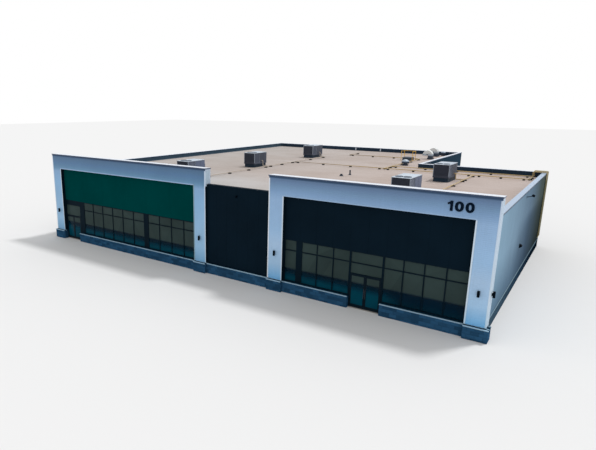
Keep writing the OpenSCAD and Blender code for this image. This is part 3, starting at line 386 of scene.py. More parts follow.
def felt(name, colour):
    """Mineral roofing sheet: granules, a change of tone from sheet to sheet, and water marks."""
    finish, tree, shader = nodes_for(name)
    granules = noise(tree, scale=160, detail=3)
    tone = ramp(tree, granules, [(0.3, shade(colour, 0.86)), (0.7, shade(colour, 1.08))])
    rows = noise(tree, scale=0.9, detail=2, stretch=(0.04, 1, 1))
    sheets = mottle(tree, rows, (0.95, 0.94, 0.93), 0.35, 0.65)
    marks = ramp(tree, noise(tree, scale=0.22, detail=7), [(0.40, WHITE), (0.60, (0.92, 0.90, 0.88))])
    across = blend(tree, along(tree, "X", -14.0, 8.0), (0.93, 0.96, 0.98), (1.04, 0.99, 0.98))
    front = blend(tree, along(tree, "Y", -9.0, -16.0), WHITE, (1.08, 1.20, 1.28))
    tree.links.new(times(tree, tone, sheets, marks, across, front), shader.inputs["Base Color"])
    shader.inputs["Roughness"].default_value = 0.95
    shader.inputs["Specular IOR Level"].default_value = 0.2
    rough_skin(tree, shader, granules, depth=0.3, distance=0.004)
    return finish


def glazing(name):
    """Tinted panes with painted reflections: blue-green low down, deeper in the right bays, and grey above.
    """
    finish, tree, shader = nodes_for(name)
    above = (1.72, (0.041, 0.067, 0.065))
    teal_reflection = heights([(0.8, (0.0002, 0.070, 0.112)), (1.05, (0.0002, 0.066, 0.106)),
                    (1.25, (0.0002, 0.036, 0.066)), (1.45, (0.0002, 0.017, 0.034)),
                    (1.58, (0.0002, 0.013, 0.028)), above], high=1.8)(tree)
    deep_reflection = heights([(0.8, (0.0002, 0.026, 0.048)), (1.05, (0.0002, 0.022, 0.044)),
                    (1.25, (0.0002, 0.016, 0.036)), (1.58, (0.0002, 0.013, 0.030)), above], high=1.8)(tree)
    panes = blend(tree, along(tree, "X", 12.6, 13.6), teal_reflection, deep_reflection)
    clouds = mottle(tree, noise(tree, scale=0.5, detail=3), grey(0.75))
    unit = tree.nodes.new("ShaderNodeNewGeometry").outputs["Random Per Island"]
    own = ramp(tree, unit, [(0.0, (0.84, 0.86, 0.88)), (1.0, WHITE)])
    tree.links.new(times(tree, panes, clouds, own), shader.inputs["Base Color"])
    shader.inputs["Roughness"].default_value = 0.04
    shader.inputs["IOR"].default_value = 1.5
    shader.inputs["Specular IOR Level"].default_value = 0.05
    shader.inputs["Alpha"].default_value = 0.94
    return finish


# Tints of single finishes, placed on the building

SIDE_RUN = ("Y", -19.2, 3.8)  # side wall, from the front corner to the rear one
METAL_TOP = (0.74, 0.79, 0.88)
# Legs of the copings are painted dark as shade.
LEG_SHADE = (0.042, 0.075, 0.145)


def party_tint(tree):
    """Slate sheet, a little paler along the party wall."""
    return blend(tree, along(tree, "X", -17.8, -17.4), (0.050, 0.088, 0.128), (0.026, 0.047, 0.078))


def joint_tint(tree):
    """Joint covers: slate over the low parapets, pale behind the portals."""
    return blend(tree, beyond(tree, "Y", -18.7, 0.1), (0.42, 0.47, 0.54), (0.040, 0.068, 0.105))


def side_reflection_and_shade_tint(tree):
    """Pale at the front corner as a painted sky reflection, with painted shade towards the rear, near the
    ground and as a dark line at the foot.
    """
    run = ramp(tree, along(tree, *SIDE_RUN),
               [(0.0, (0.30, 0.465, 0.61)), (0.30, (0.235, 0.355, 0.475)), (0.57, (0.145, 0.220, 0.305)),
                (0.85, (0.082, 0.108, 0.105)), (1.0, (0.070, 0.092, 0.085))])
    # Painted shade low down near the ground and in a band just under the coping.
    rise = ramp(tree, along(tree, "Z", 1.2, 6.6),
                [(0.0, (0.52, 0.56, 0.60)), (0.5, WHITE), (0.965, WHITE), (0.98, grey(0.45))])
    # Painted shade over the middle of the wall towards the rear.
    rear = heights([(0.8, (0.74, 0.76, 0.78)), (2.0, (0.70, 0.71, 0.74)), (3.2, (0.61, 0.63, 0.66)),
                    (3.8, (0.57, 0.60, 0.63)), (4.3, (0.68, 0.70, 0.73)), (4.9, WHITE), (7.6, WHITE)])(tree)
    rear = blend(tree, along(tree, "Y", -12.0, -5.5), WHITE, rear)
    # Painted shadow line along the foot of the panels.
    foot = blend(tree, beyond(tree, "Z", 0.845, 0.015), (0.40, 0.48, 0.54), WHITE)
    return times(tree, run, rise, rear, foot)


def trim_tint(tree):
    """White corner trims, bluer edges along the headers, and dark faces inside the openings."""
    def near(x):
        """A mask for the trims at one corner."""
        return times(tree, along(tree, "X", x - 0.02, x - 0.01), along(tree, "X", x + 0.2, x + 0.1))

    # Painted light on the trims: bluer low down as light reflected from the blue ground, and darker towards
    # the copings as painted shade.
    edges = heights([
        (0.80, (0.52, 0.72, 0.90)), (2.0, (0.68, 0.82, 0.95)), (6.36, (0.68, 0.80, 0.93)),
        (6.42, (0.31, 0.48, 0.72)), (6.56, (0.30, 0.46, 0.70)), (6.64, (0.44, 0.58, 0.76)),
        (7.6, (0.28, 0.38, 0.52))])(tree)
    # Painted shade: duller trims on the pier's edge beside LO1.
    edges = blend(tree, near(LO1), edges, (0.22, 0.36, 0.44))
    inside = either(tree, facing(tree, "X", 0.3, 0.6), facing(tree, "X", -0.3, -0.6))
    edges = blend(tree, inside, edges, (0.060, 0.090, 0.130))
    # Corner trims: bluer low down as painted reflected light, and brighter at X2 as painted light.
    corners = heights([
        (0.80, (0.50, 0.72, 0.90)), (2.0, (0.68, 0.82, 0.95)), (7.6, (0.60, 0.72, 0.88))])(tree)
    corners = blend(tree, near(X2), corners, (0.82, 0.88, 0.96))
    soft = 0.004
    ends = either(tree, beyond(tree, "X", XL + TRIM, -soft), beyond(tree, "X", XR - TRIM, soft))
    middle = times(tree, beyond(tree, "X", X1 - TRIM, soft), beyond(tree, "X", X2 + TRIM, -soft))
    return blend(tree, either(tree, ends, middle), edges, corners)


def side_block_shade_tint(tree):
    """Side plinth, painted darker towards the rear as shade."""
    return ramp(tree, along(tree, *SIDE_RUN),
                [(0.0, (0.075, 0.135, 0.190)), (0.5, (0.024, 0.056, 0.098)),
                 (0.8, (0.004, 0.014, 0.028)), (1.0, (0.003, 0.010, 0.017))])


def sill_tint(tree):
    """Sills are pale along their front edges and painted dark behind as the walls' shade; along the side wall
    they are painted darker towards the rear as shade.
    """
    pale, dark = (0.40, 0.60, 0.76), (0.004, 0.028, 0.055)
    front = ramp(tree, along(tree, "Y", -20.0, -19.0),
                 [(0.0, pale), (0.145, pale), (0.155, dark), (0.27, dark), (0.28, pale), (0.345, pale),
                  (0.36, dark), (1.0, dark)])
    side = blend(tree, along(tree, *SIDE_RUN), (0.27, 0.39, 0.48), (0.13, 0.20, 0.25))
    on_side = times(tree, beyond(tree, "X", 18.1, 0.1), beyond(tree, "Y", -19.3, 0.1))
    return blend(tree, on_side, front, side)


def coping_tint(tree):
    """Pale tops, and legs painted dark as shade."""
    return blend(tree, facing(tree, "Z", 0.3, 0.6), LEG_SHADE, METAL_TOP)


def parapet_coping_tint(tree):
    """Pale tops and legs painted dark as shade; the tops along the side wall are duller."""
    tops = blend(tree, beyond(tree, "X", 17.3, 0.3), METAL_TOP, (0.40, 0.51, 0.665))
    return blend(tree, facing(tree, "Z", 0.3, 0.6), LEG_SHADE, tops)


def pipe_tint(tree):
    """Yellow on the roof, duller to the left, and dull olive down the wall, which is the yellow painted in
    shade.
    """
    roof = ramp(tree, along(tree, "X", -9.0, 18.0),
                [(0.0, (0.56, 0.49, 0.43)), (0.15, (0.55, 0.48, 0.41)), (0.30, (0.47, 0.37, 0.25)),
                 (0.45, (0.57, 0.42, 0.19)), (0.93, (0.57, 0.42, 0.19)), (1.0, (0.36, 0.30, 0.18))])
    return blend(tree, beyond(tree, "Z", 6.05, 0.15), (0.155, 0.140, 0.060), roof)


def unit_tint(tree):
    """Dark louvres in front, greyer sides, a navy curb, and a pale cover with grey guards over dark wells."""
    # Painted light and shade: faces that look along +X take the lighter side tones as lit faces, and the
    # front and other faces a dark tone that is partly the louvres' own colour and partly painted shade.
    sides = blend(tree, along(tree, "Y", -9.0, -7.0), (0.175, 0.200, 0.275), (0.112, 0.132, 0.185))
    casing = blend(tree, facing(tree, "X", 0.1, 0.6), (0.048, 0.056, 0.082), sides)
    casing = blend(tree, beyond(tree, "Z", ROOF + LIFT, 0.01), (0.012, 0.032, 0.058), casing)
    guards = beyond(tree, "Z", COVER_TOP + 0.001, 0.001)
    top = blend(tree, guards, (0.56, 0.64, 0.74), (0.24, 0.28, 0.34))
    return blend(tree, beyond(tree, "Z", COVER_FOOT, 0.001), casing, top)


def panel_tint(tree):
    """Unit panels, paler on the unit nearest the right front."""
    return blend(tree, along(tree, "Y", -9.0, -7.0), (0.150, 0.185, 0.285), (0.074, 0.088, 0.124))


def leaf_tint(tree):
    """Black leaves with satin handles outside and push bars inside."""
    outside = beyond(tree, "Y", STORE_FACE - 0.026, -0.002)
    inside = beyond(tree, "Y", STORE_FACE + 0.052, 0.002)
    return blend(tree, either(tree, outside, inside), (0.0035, 0.011, 0.019), (0.06, 0.07, 0.085))


def vent_tint(tree):
    """Pale caps and ducts on dark curbs, and dark stacks near the front."""
    # Dark low down, partly the curbs' own colour and partly painted shade, and paler with height as painted
    # shade fades up the caps and ducts.
    body = ramp(tree, along(tree, "Z", ROOF, ROOF + 1.0),
                [(0.0, (0.030, 0.045, 0.070)), (0.36, (0.035, 0.055, 0.095)), (0.44, (0.30, 0.38, 0.48)),
                 (0.56, (0.50, 0.58, 0.66)), (0.66, (0.76, 0.80, 0.82)), (1.0, (0.82, 0.85, 0.85))])
    return blend(tree, beyond(tree, "Y", 0.0, 1.0), (0.020, 0.030, 0.050), body)


# Tints of the portal cladding with painted light and shade: bluer near the foot as light reflected from the
# blue ground, and darker towards the coping as painted shade, deeper on the left header.
right_rib_shading = heights([
    (0.80, (0.17, 0.49, 0.85)), (1.9, (0.415, 0.655, 0.925)), (3.2, (0.45, 0.65, 0.90)),
    (4.2, (0.365, 0.585, 0.865)), (6.2, (0.325, 0.51, 0.775)), (6.7, (0.235, 0.395, 0.640)),
    (7.0, (0.190, 0.330, 0.530)), (7.3, (0.145, 0.250, 0.430)), (7.6, (0.098, 0.170, 0.300))])
left_rib_shading = heights([
    (0.80, (0.21, 0.46, 0.72)), (1.9, (0.34, 0.60, 0.87)), (3.2, (0.34, 0.58, 0.84)),
    (5.2, (0.285, 0.52, 0.80)), (6.2, (0.27, 0.46, 0.72)), (6.45, (0.165, 0.335, 0.54)),
    (6.7, (0.125, 0.270, 0.45)), (7.0, (0.105, 0.225, 0.41)), (7.3, (0.095, 0.200, 0.35)),
    (7.6, (0.080, 0.160, 0.29))])
shadow_tint = heights([
    (PORTAL_TOP - BAND, (0.105, 0.185, 0.315)), (PORTAL_TOP - 0.09, (0.048, 0.088, 0.165)),
    (PORTAL_TOP, (0.040, 0.075, 0.145))], PORTAL_TOP - BAND, PORTAL_TOP)


# Finishes. The numbers of the painted ones are roughness, gloss and spread, then streaks and metal where a
# finish has them. Those of the masonry are grain, depth of the grain and spread.

RIGHT_RIBS = painted("ribbed_cladding", right_rib_shading, 0.45, 0.4, 0.05, 0.05)
LEFT_RIBS = painted("ribbed_cladding_left", left_rib_shading, 0.45, 0.3, 0.05, 0.05)
END_SHEETS = painted("portal_end_sheets", (0.47, 0.60, 0.73), 0.45, 0.3, 0.05, 0.05)
TRIMS = painted("cladding_trims", trim_tint, 0.42, 0.4, 0.03, 0.03)
SHADE_BAND = painted("shadow_band_coat", shadow_tint, 0.6, 0.1, 0.06)
SIDE_PANELS = painted("side_panels", side_reflection_and_shade_tint, 0.6, 0.0, 0.05, 0.08)
SLATE_PANELS = painted("slate_panels", (0.026, 0.054, 0.084), 0.6, 0.0, 0.10, 0.06)
BLACK_PANELS = painted("black_panels", (0.0034, 0.0112, 0.0205), 0.6, 0.02, 0.12)
GREEN_BAND = painted("green_band", (0.0, 0.050, 0.050), 0.5, 0.0, 0.08)
COPING = painted("white_coping", coping_tint, 0.4, 0.3, 0.03, 0.03)
PARAPET_COPING = painted("parapet_coping", parapet_coping_tint, 0.4, 0.2, 0.03, 0.03)
COVER_STRIP = painted("white_cover_strip", (0.60, 0.66, 0.74), 0.5, 0.2, 0.05, 0.05)
PARTY_SHEET = painted("party_sheet", party_tint, 0.6, 0.0, 0.1, 0.05)
JOINT_SHEET = painted("joint_cover_sheet", joint_tint, 0.6, 0.0, 0.05, 0.05)
ALUMINIUM = painted("black_aluminium_finish", (0.0035, 0.011, 0.019), 0.4, 0.02, 0.08)
LEAF = painted("door_leaf_finish", leaf_tint, 0.4, 0.05, 0.08)
UNIT_COAT = painted("unit_coat", unit_tint, 0.5, 0.2, 0.08, 0.06)
UNIT_PANEL = painted("unit_panel_coat", panel_tint, 0.5, 0.2, 0.1, 0.08)
UNIT_TRIM = painted("unit_trim_coat", (0.36, 0.42, 0.50), 0.45, 0.3, 0.05, 0.04)
STEEL = painted("bolt_and_strap_steel", (0.30, 0.31, 0.32), 0.4, 0.4, 0.06, 0.0, 0.6)
SHEET_STEEL = painted("galvanised_sheet", vent_tint, 0.42, 0.4, 0.06, 0.08, 0.1)
HATCH_SHEET = painted("hatch_sheet", (0.0476, 0.0667, 0.0952), 0.45, 0.3, 0.05, 0.05)
YELLOW = painted("yellow_pipe_paint", pipe_tint, 0.4, 0.3, 0.08, 0.10)
RAIL_YELLOW = painted("yellow_rail_paint", (0.78, 0.46, 0.04), 0.4, 0.3, 0.06, 0.05)
RUBBER = painted("block_rubber", (0.016, 0.017, 0.020), 0.8, 0.1, 0.1)
LAMP_BLACK = painted("lamp_black", (0.0015, 0.005, 0.010), 0.6, 0.02, 0.06)
DIGIT_BLACK = painted("digit_black", (0.002, 0.008, 0.020), 0.5, 0.02, 0.04)
# The block and mortar tones carry a painted blue skylight cast over their grey.
BLOCK = masonry("grey_block_face", (0.026, 0.092, 0.185), 34, 0.6, 0.22)
SIDE_BLOCK = masonry("side_block_face", side_block_shade_tint, 34, 0.6, 0.16)
MORTAR = masonry("block_mortar", (0.018, 0.062, 0.120), 60, 0.3, 0.0)
SILL = masonry("pale_sill_stone", sill_tint, 45, 0.25, 0.03)
CONCRETE = masonry("floor_concrete", (0.30, 0.29, 0.27), 3, 0.1, 0.03)
FELT = felt("roof_felt_sheet", (0.495, 0.445, 0.418))
GLASS = glazing("tinted_panes")

NODE_FINISH = {
    "concrete": CONCRETE, "roof_felt": FELT, "light_cladding": TRIMS, "side_cladding": SIDE_PANELS,
    "slate_cladding": SLATE_PANELS, "black_cladding": BLACK_PANELS, "green_panel": GREEN_BAND,
    "pale_coping": COPING, "grey_block": MORTAR, "pale_sill": SILL, "black_aluminium": ALUMINIUM,
    "tinted_glass": GLASS, "unit_grey": UNIT_COAT, "vent_steel": SHEET_STEEL, "gas_yellow": YELLOW,
    "rubber_block": RUBBER, "light_black": LAMP_BLACK, "dark_party": PARTY_SHEET,
}
OWN_FINISH = {"roof_hatch": HATCH_SHEET, "hatch_railing": RAIL_YELLOW, "parapet_copings": PARAPET_COPING}
for door in ("left_door", "right_door"):
    for side in ("left", "right"):
        OWN_FINISH[f"{door}_{side}_leaf"] = LEAF
for part in frame["record"]["subparts"]:
    solid = frame["nodes"][part["node"]]
    solid.data.materials.clear()
    solid.data.materials.append(OWN_FINISH.get(part["node"], NODE_FINISH[part["material_slot"]]))


# Portal cladding: ribbed sheets just inside the corner trims, and a shadow strip under the coping

RIB_PITCH, RIB_DEPTH = 0.10, 0.006
RIB_SLOPE = 0.22  # share of a rib's height that each of its slopes takes
SHEET_FACE, SHEET_BACK = 0.007, 0.0125  # depths of a sheet behind the portal's faces


def ribbed(lo, hi, out):
    """A sheet of horizontal ribs between two corners, whose ribs stand out along a direction."""
    rows, height = shares(lo[2], hi[2], RIB_PITCH)
    sheet = block(lo, (hi[0], hi[1], lo[2] + height))
    raise_field(sheet, out, height * RIB_SLOPE, RIB_DEPTH)
    return repeat(sheet, (0, 0, height), rows)


def front_sheet(x0, x1, z0, z1):
    """Ribbed sheet on the front of a pier or a header."""
    return ribbed((x0, FRONT + SHEET_FACE, z0), (x1, FRONT + SHEET_BACK, z1), (0, -1, 0))


def end_sheet(x, out):
    """Ribbed sheet on a portal's end, down to the plinth at a corner and to the roof's edge elsewhere."""
    z0 = CLAD if x in (XL, XR) else WALL_TOP + TRIM
    near, far = sorted((x - out * SHEET_FACE, x - out * SHEET_BACK))
    return ribbed((near, FRONT + TRIM, z0), (far, BACK - TRIM, PORTAL_TOP - BAND), (out, 0, 0))


for side, x0, x1, finish in (("left", XL, X1, LEFT_RIBS), ("right", X2, XR, RIGHT_RIBS)):
    sheets = [front_sheet(x0 + TRIM, x1 - TRIM, HEAD + TRIM, PORTAL_TOP - BAND)]
    for pier in (x0, x1 - PIER):
        sheets.append(front_sheet(pier + TRIM, pier + PIER - TRIM, CLAD, HEAD + TRIM))
    fit(gather(sheets), side + "_portal_cladding", finish)
    ends = [end_sheet(x0, -1), end_sheet(x1, 1)]
    fit(gather(ends), side + "_portal_end_cladding", END_SHEETS)
    gap = 0.004
    strip = block((x0 + gap, FRONT + gap, PORTAL_TOP - BAND), (x1 - gap, FRONT + 0.024, PORTAL_TOP - gap))
    fit(ease(strip, 0.003), side + "_portal_shadow_strip", SHADE_BAND)


# Street number in plain digits on the right header

DIGIT_Z, DIGIT_TALL, DIGIT_WIDE = 6.73, 0.53, 0.43
DIGIT_FACE, DIGIT_BACK = FRONT - 0.030, FRONT + 0.020


def nought(x):
    """A bold nought with its left side at x."""
    let_go()
    bpy.ops.object.text_add(location=(0, 0, 0))
    text = bpy.context.object
    text.data.body = "0"
    text.data.extrude = 0.02
    text.data.bevel_depth = 0.004
    text.data.offset = 0.036  # thickens the strokes
    bpy.ops.object.convert(target="MESH")
    piece = bpy.context.object
    piece.rotation_euler = (math.pi / 2, 0, 0)
    seat(piece)
    low = Vector([min(c[i] for c in piece.bound_box) for i in range(3)])
    high = Vector([max(c[i] for c in piece.bound_box) for i in range(3)])
    scale = (DIGIT_WIDE / (high.x - low.x), 1, DIGIT_TALL / (high.z - low.z), 1)
    piece.data.transform(Matrix.Translation(-low))
    piece.data.transform(Matrix.Diagonal(scale))
    piece.data.transform(Matrix.Translation((x, DIGIT_FACE, DIGIT_Z)))
    return piece


def one(x):
    """A bold one with a flag, whose upright starts at x."""
    top = DIGIT_Z + DIGIT_TALL
    upright = ease(block((x, DIGIT_FACE, DIGIT_Z), (x + 0.135, DIGIT_BACK, top)), 0.004)
    flag = ease(block((-0.15, DIGIT_FACE + 0.001, -0.05), (0.05, DIGIT_BACK, 0.05)), 0.004)
    flag.data.transform(Matrix.Rotation(math.radians(-33), 4, "Y"))
    flag.data.transform(Matrix.Translation((x + 0.01, 0, top - 0.085)))
    return gather([upright, flag])


digits = [one(XR - 2.40), nought(XR - 2.17), nought(XR - 1.66)]
fit(gather(digits), "street_number", DIGIT_BLACK)


# Block facing on the plinth, in running bond

ROWS = [(0.0, 0.1), (0.1, 0.3), (0.3, 0.5), (0.5, 0.7)]
BLOCK_LENGTH = 0.406
HALF_JOINT = 0.005
SPLIT_EDGE, SPLIT_DEPTH = 0.012, 0.008


def stone(axis, plane, out, a, b, z0, z1):
    """One split-faced block on a plinth face."""
    piece = slab(axis, (a + HALF_JOINT, b - HALF_JOINT), sorted((plane - out * 0.004, plane + out * 0.006)),
                 (z0 + HALF_JOINT, z1 - HALF_JOINT))
    return raise_field(piece, outward(axis, out), SPLIT_EDGE, SPLIT_DEPTH)


def courses(axis, plane, out, a, b):
    """Courses of blocks along one plinth face; every second course starts and ends with a half."""
    count, length = shares(a, b, BLOCK_LENGTH)
    half = length / 2
    whole_row = [(a, length, count)]
    half_row = [(a, half, 1), (a + half, length, count - 1), (b - half, half, 1)]
    laid = []
    for row, (z0, z1) in enumerate(ROWS):
        for start, size, number_of in half_row if row % 2 else whole_row:
            if number_of > 0:
                first = stone(axis, plane, out, start, start + size, z0, z1)
                laid.append(repeat(first, stride(axis, size), number_of))
    return laid


front_blocks = []
for x0, x1 in ((XL - NOSE, LO0), (LO1, X1), (X2, RO0), (RO1, XR + NOSE)):
    front_blocks += courses("x", FRONT - NOSE, -1, x0, x1)
for x, out in ((LO0, 1), (LO1, -1), (RO0, 1), (RO1, -1), (X1, 1), (X2, -1)):
    front_blocks += courses("y", x, out, FRONT - NOSE, PLINTH_FACE)
for x, out in ((XL - NOSE, -1), (XR + NOSE, 1)):
    front_blocks += courses("y", x, out, FRONT - NOSE, BACK)
for x0, x1 in ((BAYS, LO1), (RO0, DOOR_LO.x), (DOOR_HI.x, RO1), (X1, X2)):
    front_blocks += courses("x", PLINTH_FACE, -1, x0, x1)
for x, out in ((BAYS, -1), (DOOR_LO.x, 1), (DOOR_HI.x, -1)):
    front_blocks += courses("y", x, out, PLINTH_FACE, STORE_FACE)
fit(gather(front_blocks), "front_block_courses", BLOCK)
fit(gather(courses("y", SIDE, 1, BACK, SHALLOW)), "side_block_courses", SIDE_BLOCK)
rear_blocks = courses("x", SHALLOW, 1, STEP, SIDE) + courses("y", STEP, 1, SHALLOW, REAR)
rear_blocks += courses("x", REAR, 1, PARTY + WALL, STEP)
fit(gather(rear_blocks), "rear_block_courses", BLOCK)


# Flat panels with open joints: middle wall, fascia, sign band, and the side, step, rear and party walls

PANEL_FIELD = 0.003  # how far the middle of a panel stands out from its sloped edges
PANEL_WIDTH = 1.2


def panels(axis, plane, out, a, b, z0, z1, wide, joint=0.003, proud=0.003, margin=0.008):
    """A row of flat panels on a plain face, from a to b."""
    count, size = shares(a, b, wide)
    depth = sorted((plane - out * 0.002, plane + out * proud))
    first = slab(axis, (a + joint, a + size - joint), depth, (z0, z1))
    raise_field(first, outward(axis, out), margin, PANEL_FIELD)
    return repeat(first, stride(axis, size), count)


def front_panels(x0, x1, plane, z0, z1, wide):
    """Panels of the front, with wider joints."""
    return panels("x", plane, -1, x0, x1, z0, z1, wide, joint=0.004, proud=0.004, margin=0.006)


middle = front_panels(X1, X2, MIDDLE_FACE, CLAD, WALL_TOP - 0.03, 0.885)
fit(middle, "middle_wall_panels", BLACK_PANELS)
for node, wide, name, finish, slot in (
        ("fascia_panel", 1.123, "fascia_panels", BLACK_PANELS, "black_cladding"),
        ("sign_band", 2.61, "sign_band_panels", GREEN_BAND, "green_panel")):
    lo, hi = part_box(node)
    fit(front_panels(lo.x, hi.x, lo.y, lo.z, hi.z, wide), name, finish)
for name, axis, plane, out, a, b, foot, finish, slot in (
        ("side_wall_panels", "y", SIDE, 1, BACK, SHALLOW, CLAD, SIDE_PANELS, "side_cladding"),
        ("rear_wall_right_panels", "x", SHALLOW, 1, STEP, SIDE, CLAD, SLATE_PANELS, "slate_cladding"),
        ("step_wall_panels", "y", STEP, 1, SHALLOW, REAR, CLAD, SLATE_PANELS, "slate_cladding"),
        ("rear_wall_left_panels", "x", REAR, 1, PARTY, STEP, CLAD, SLATE_PANELS, "slate_cladding"),
        ("party_wall_panels", "y", PARTY, -1, BACK, REAR, 0.0, PARTY_SHEET, "dark_party")):
    fit(panels(axis, plane, out, a, b, foot, LEG_FOOT, PANEL_WIDTH), name, finish)


# Parapets: lining sheets inside, cant strips at the roof, and covers over the sheets' joints

LINING_LENGTH = 3.0
LINING, COVER, CANT = 0.010, 0.016, 0.070  # how far each stands out from the parapet
COVER_WIDTH = 0.05


def lining(axis, plane, out, a, b, top):
    """Sheets on a parapet's roof side from a to b, the cant strip at their foot, and joint covers."""
    def depth(thickness):
        """The span of something that lies on the parapet."""
        return sorted((plane, plane + out * thickness))

    count, size = shares(a, b, LINING_LENGTH)
    start = a + size / 2 - COVER_WIDTH / 2
    sheet = slab(axis, (a, b), depth(LINING), (ROOF, top))
    cant = slab(axis, (a, b), depth(CANT), (ROOF, ROOF + CANT))
    if axis == "x":
        narrow_top(cant, (1, 0.15, 1), (0, plane, 0))
    else:
        narrow_top(cant, (0.15, 1, 1), (plane, 0, 0))
    cover = slab(axis, (start, start + COVER_WIDTH), depth(COVER), (ROOF + 0.04, top))
    return ease(sheet, 0.002), cant, repeat(ease(cover, 0.003), stride(axis, size), count)


linings = [lining(*run) for run in (
    ("y", SIDE - WALL, -1, BACK, SHALLOW - WALL, LEG_FOOT),
    ("x", SHALLOW - WALL, -1, STEP - WALL, SIDE - WALL, LEG_FOOT),
    ("y", STEP - WALL, -1, SHALLOW - WALL, REAR - WALL, LEG_FOOT),
    ("x", REAR - WALL, -1, PARTY + WALL, STEP - WALL, LEG_FOOT),
    ("y", PARTY + WALL, 1, BACK, REAR - WALL, LEG_FOOT),
    ("x", BACK, 1, PARTY + WALL, X1, PORTAL_LEG_FOOT),
    ("x", BACK, 1, X1, X2, LEG_FOOT),
    ("x", BACK, 1, X2, SIDE - WALL, PORTAL_LEG_FOOT),
)]
sheets, cants, covers = zip(*linings)
fit(gather(sheets), "parapet_linings", PARTY_SHEET)
fit(gather(cants), "cant_strips", PARTY_SHEET)
fit(gather(covers), "lining_joint_covers", JOINT_SHEET)
flashings = []
for x in (-5.93, -2.46):
    flashing = block((x - 0.07, REAR - WALL - 0.020, ROOF + 0.03), (x + 0.07, REAR - WALL, LEG_FOOT))
    flashings.append(ease(flashing, 0.003))
fit(gather(flashings), "rear_pale_flashings", COVER_STRIP)


# Roof sheets

def laps(lo, hi):
    """Edges of the roofing sheets across a roof, 1 m apart."""
    strip = block((lo.x + 0.01, lo.y + 0.9, ROOF - 0.002), (hi.x - 0.01, lo.y + 1.0, ROOF + 0.0035))
    narrow_top(strip, (1, 0.9, 1), (0, lo.y + 0.95, 0))
    return repeat(strip, (0, 1.0, 0), int(hi.y - lo.y - 0.2))


roof_laps = [laps(*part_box("roof_deck_front")), laps(*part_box("roof_deck_rear"))]
fit(gather(roof_laps), "roof_sheet_laps", FELT)


# Rooftop units: panels, latches, corner trims and cover screws

def unit_panels(corner, length):
    """Outer panels and their latches, from the front left corner of the casing."""
    x0, y0, z0 = corner
    behind_coil = y0 + COIL + 0.014
    pitch = (length - COIL - 0.014) / 2
    made = []
    for y in (behind_coil, behind_coil + pitch):
        for x, out in ((x0, -1), (x0 + UNIT_W, 1)):
            depth = sorted((x - out * 0.001, x + out * 0.002))
            panel = slab("y", (y + 0.01, y + pitch - 0.024), depth, (z0 + 0.12, z0 + 1.02))
            made.append(raise_field(panel, (out, 0, 0), 0.02, 0.004))
            for z in (z0 + 0.25, z0 + 0.85):
                latch = slab("y", (y + 0.06, y + 0.09), sorted((x, x + out * 0.011)), (z, z + 0.10))
                made.append(ease(latch, 0.003))
    return made


def unit_trims(corner):
    """Folded posts at the front corners and behind the coil."""
    x0, y0, z0 = corner
    x1 = x0 + UNIT_W
    rise = (z0 + 0.115, z0 + 1.045)
    posts = []
    for x, out in ((x0, -1), (x1, 1)):
        for y in (y0 + 0.012, y0 + COIL - 0.055):
            posts.append(slab("y", (y, y + 0.03), sorted((x - out * 0.013, x + out * 0.003)), rise))
    for x in (x0 + 0.012, x1 - 0.042):
        posts.append(slab("x", (x, x + 0.03), (y0 - 0.003, y0 + 0.013), rise))
    return [ease(post, 0.004) for post in posts]


def cover_screws(corner, length):
    """Hexagon screws along the long edges of the cover."""
    x0, y0, _ = corner
    count = 9
    rows = []
    for x in (x0 + 0.03, x0 + UNIT_W - 0.03):
        screw = rod((x, y0 + 0.05, COVER_TOP - 0.004), (x, y0 + 0.05, COVER_TOP + 0.008), 0.012, 6)
        rows.append(repeat(screw, (0, (length - 0.10) / (count - 1), 0), count))
    return rows


for number in range(1, 6):
    lo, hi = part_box(f"rooftop_unit_{number}")
    casing = (lo.x + 0.015, lo.y + 0.015, ROOF + LIFT)
    length = hi.y - lo.y - 0.295
    fit(gather(unit_panels(casing, length)), f"unit_{number}_panels", UNIT_PANEL)
    fit(gather(unit_trims(casing)), f"unit_{number}_corner_trims", UNIT_TRIM)
    fit(gather(cover_screws(casing, length)), f"unit_{number}_cover_screws", STEEL)


# Straps that hold the gas pipe down on its blocks

def islands(mesh):
    """The spans along X, Y and Z of the separate pieces in a mesh."""
    home = list(range(len(mesh.vertices)))

    def root(i):
        """The corner that stands for a corner's piece."""
        while home[i] != i:
            home[i] = home[home[i]]
            i = home[i]
        return i

    for edge in mesh.edges:
        home[root(edge.vertices[0])] = root(edge.vertices[1])
    groups = {}
    for vertex in mesh.vertices:
        groups.setdefault(root(vertex.index), []).append(vertex.co)
    return [[(min(p[i] for p in points), max(p[i] for p in points)) for i in range(3)]
            for points in groups.values()]


def strap(x_span, y_span, z_span):
    """A flat steel strap along the top of one block, which reaches out on both sides of the pipe."""
    x, y, z = sum(x_span) / 2, sum(y_span) / 2, z_span[1]
    reach, width = 0.075, 0.015
    if x_span[1] - x_span[0] <= y_span[1] - y_span[0]:
        reach, width = width, reach
    return ease(block((x - reach, y - width, z - 0.001), (x + reach, y + width, z + 0.004)), 0.0015)


straps = [strap(*spans) for spans in islands(frame["nodes"]["pipe_blocks"].data)]
fit(gather(straps), "pipe_straps", STEEL)


# Small camera high on the middle wall: plate, arm and dome
eye = Vector((2.2, FRONT + 0.196, 5.95))
dome_y = eye.y - 0.12
plate = block((eye.x - 0.06, eye.y - 0.010, eye.z - 0.02), (eye.x + 0.06, eye.y + 0.004, eye.z + 0.10))
arm = rod((eye.x, eye.y, eye.z + 0.05), (eye.x, dome_y, eye.z + 0.05), 0.018, 12)
let_go()
bpy.ops.mesh.primitive_uv_sphere_add(segments=20, ring_count=12, radius=0.085,
                                     location=(eye.x, dome_y, eye.z - 0.005))
dome = seat(bpy.context.object)
fit(gather([ease(plate, 0.004), arm, dome]), "wall_camera", LAMP_BLACK)


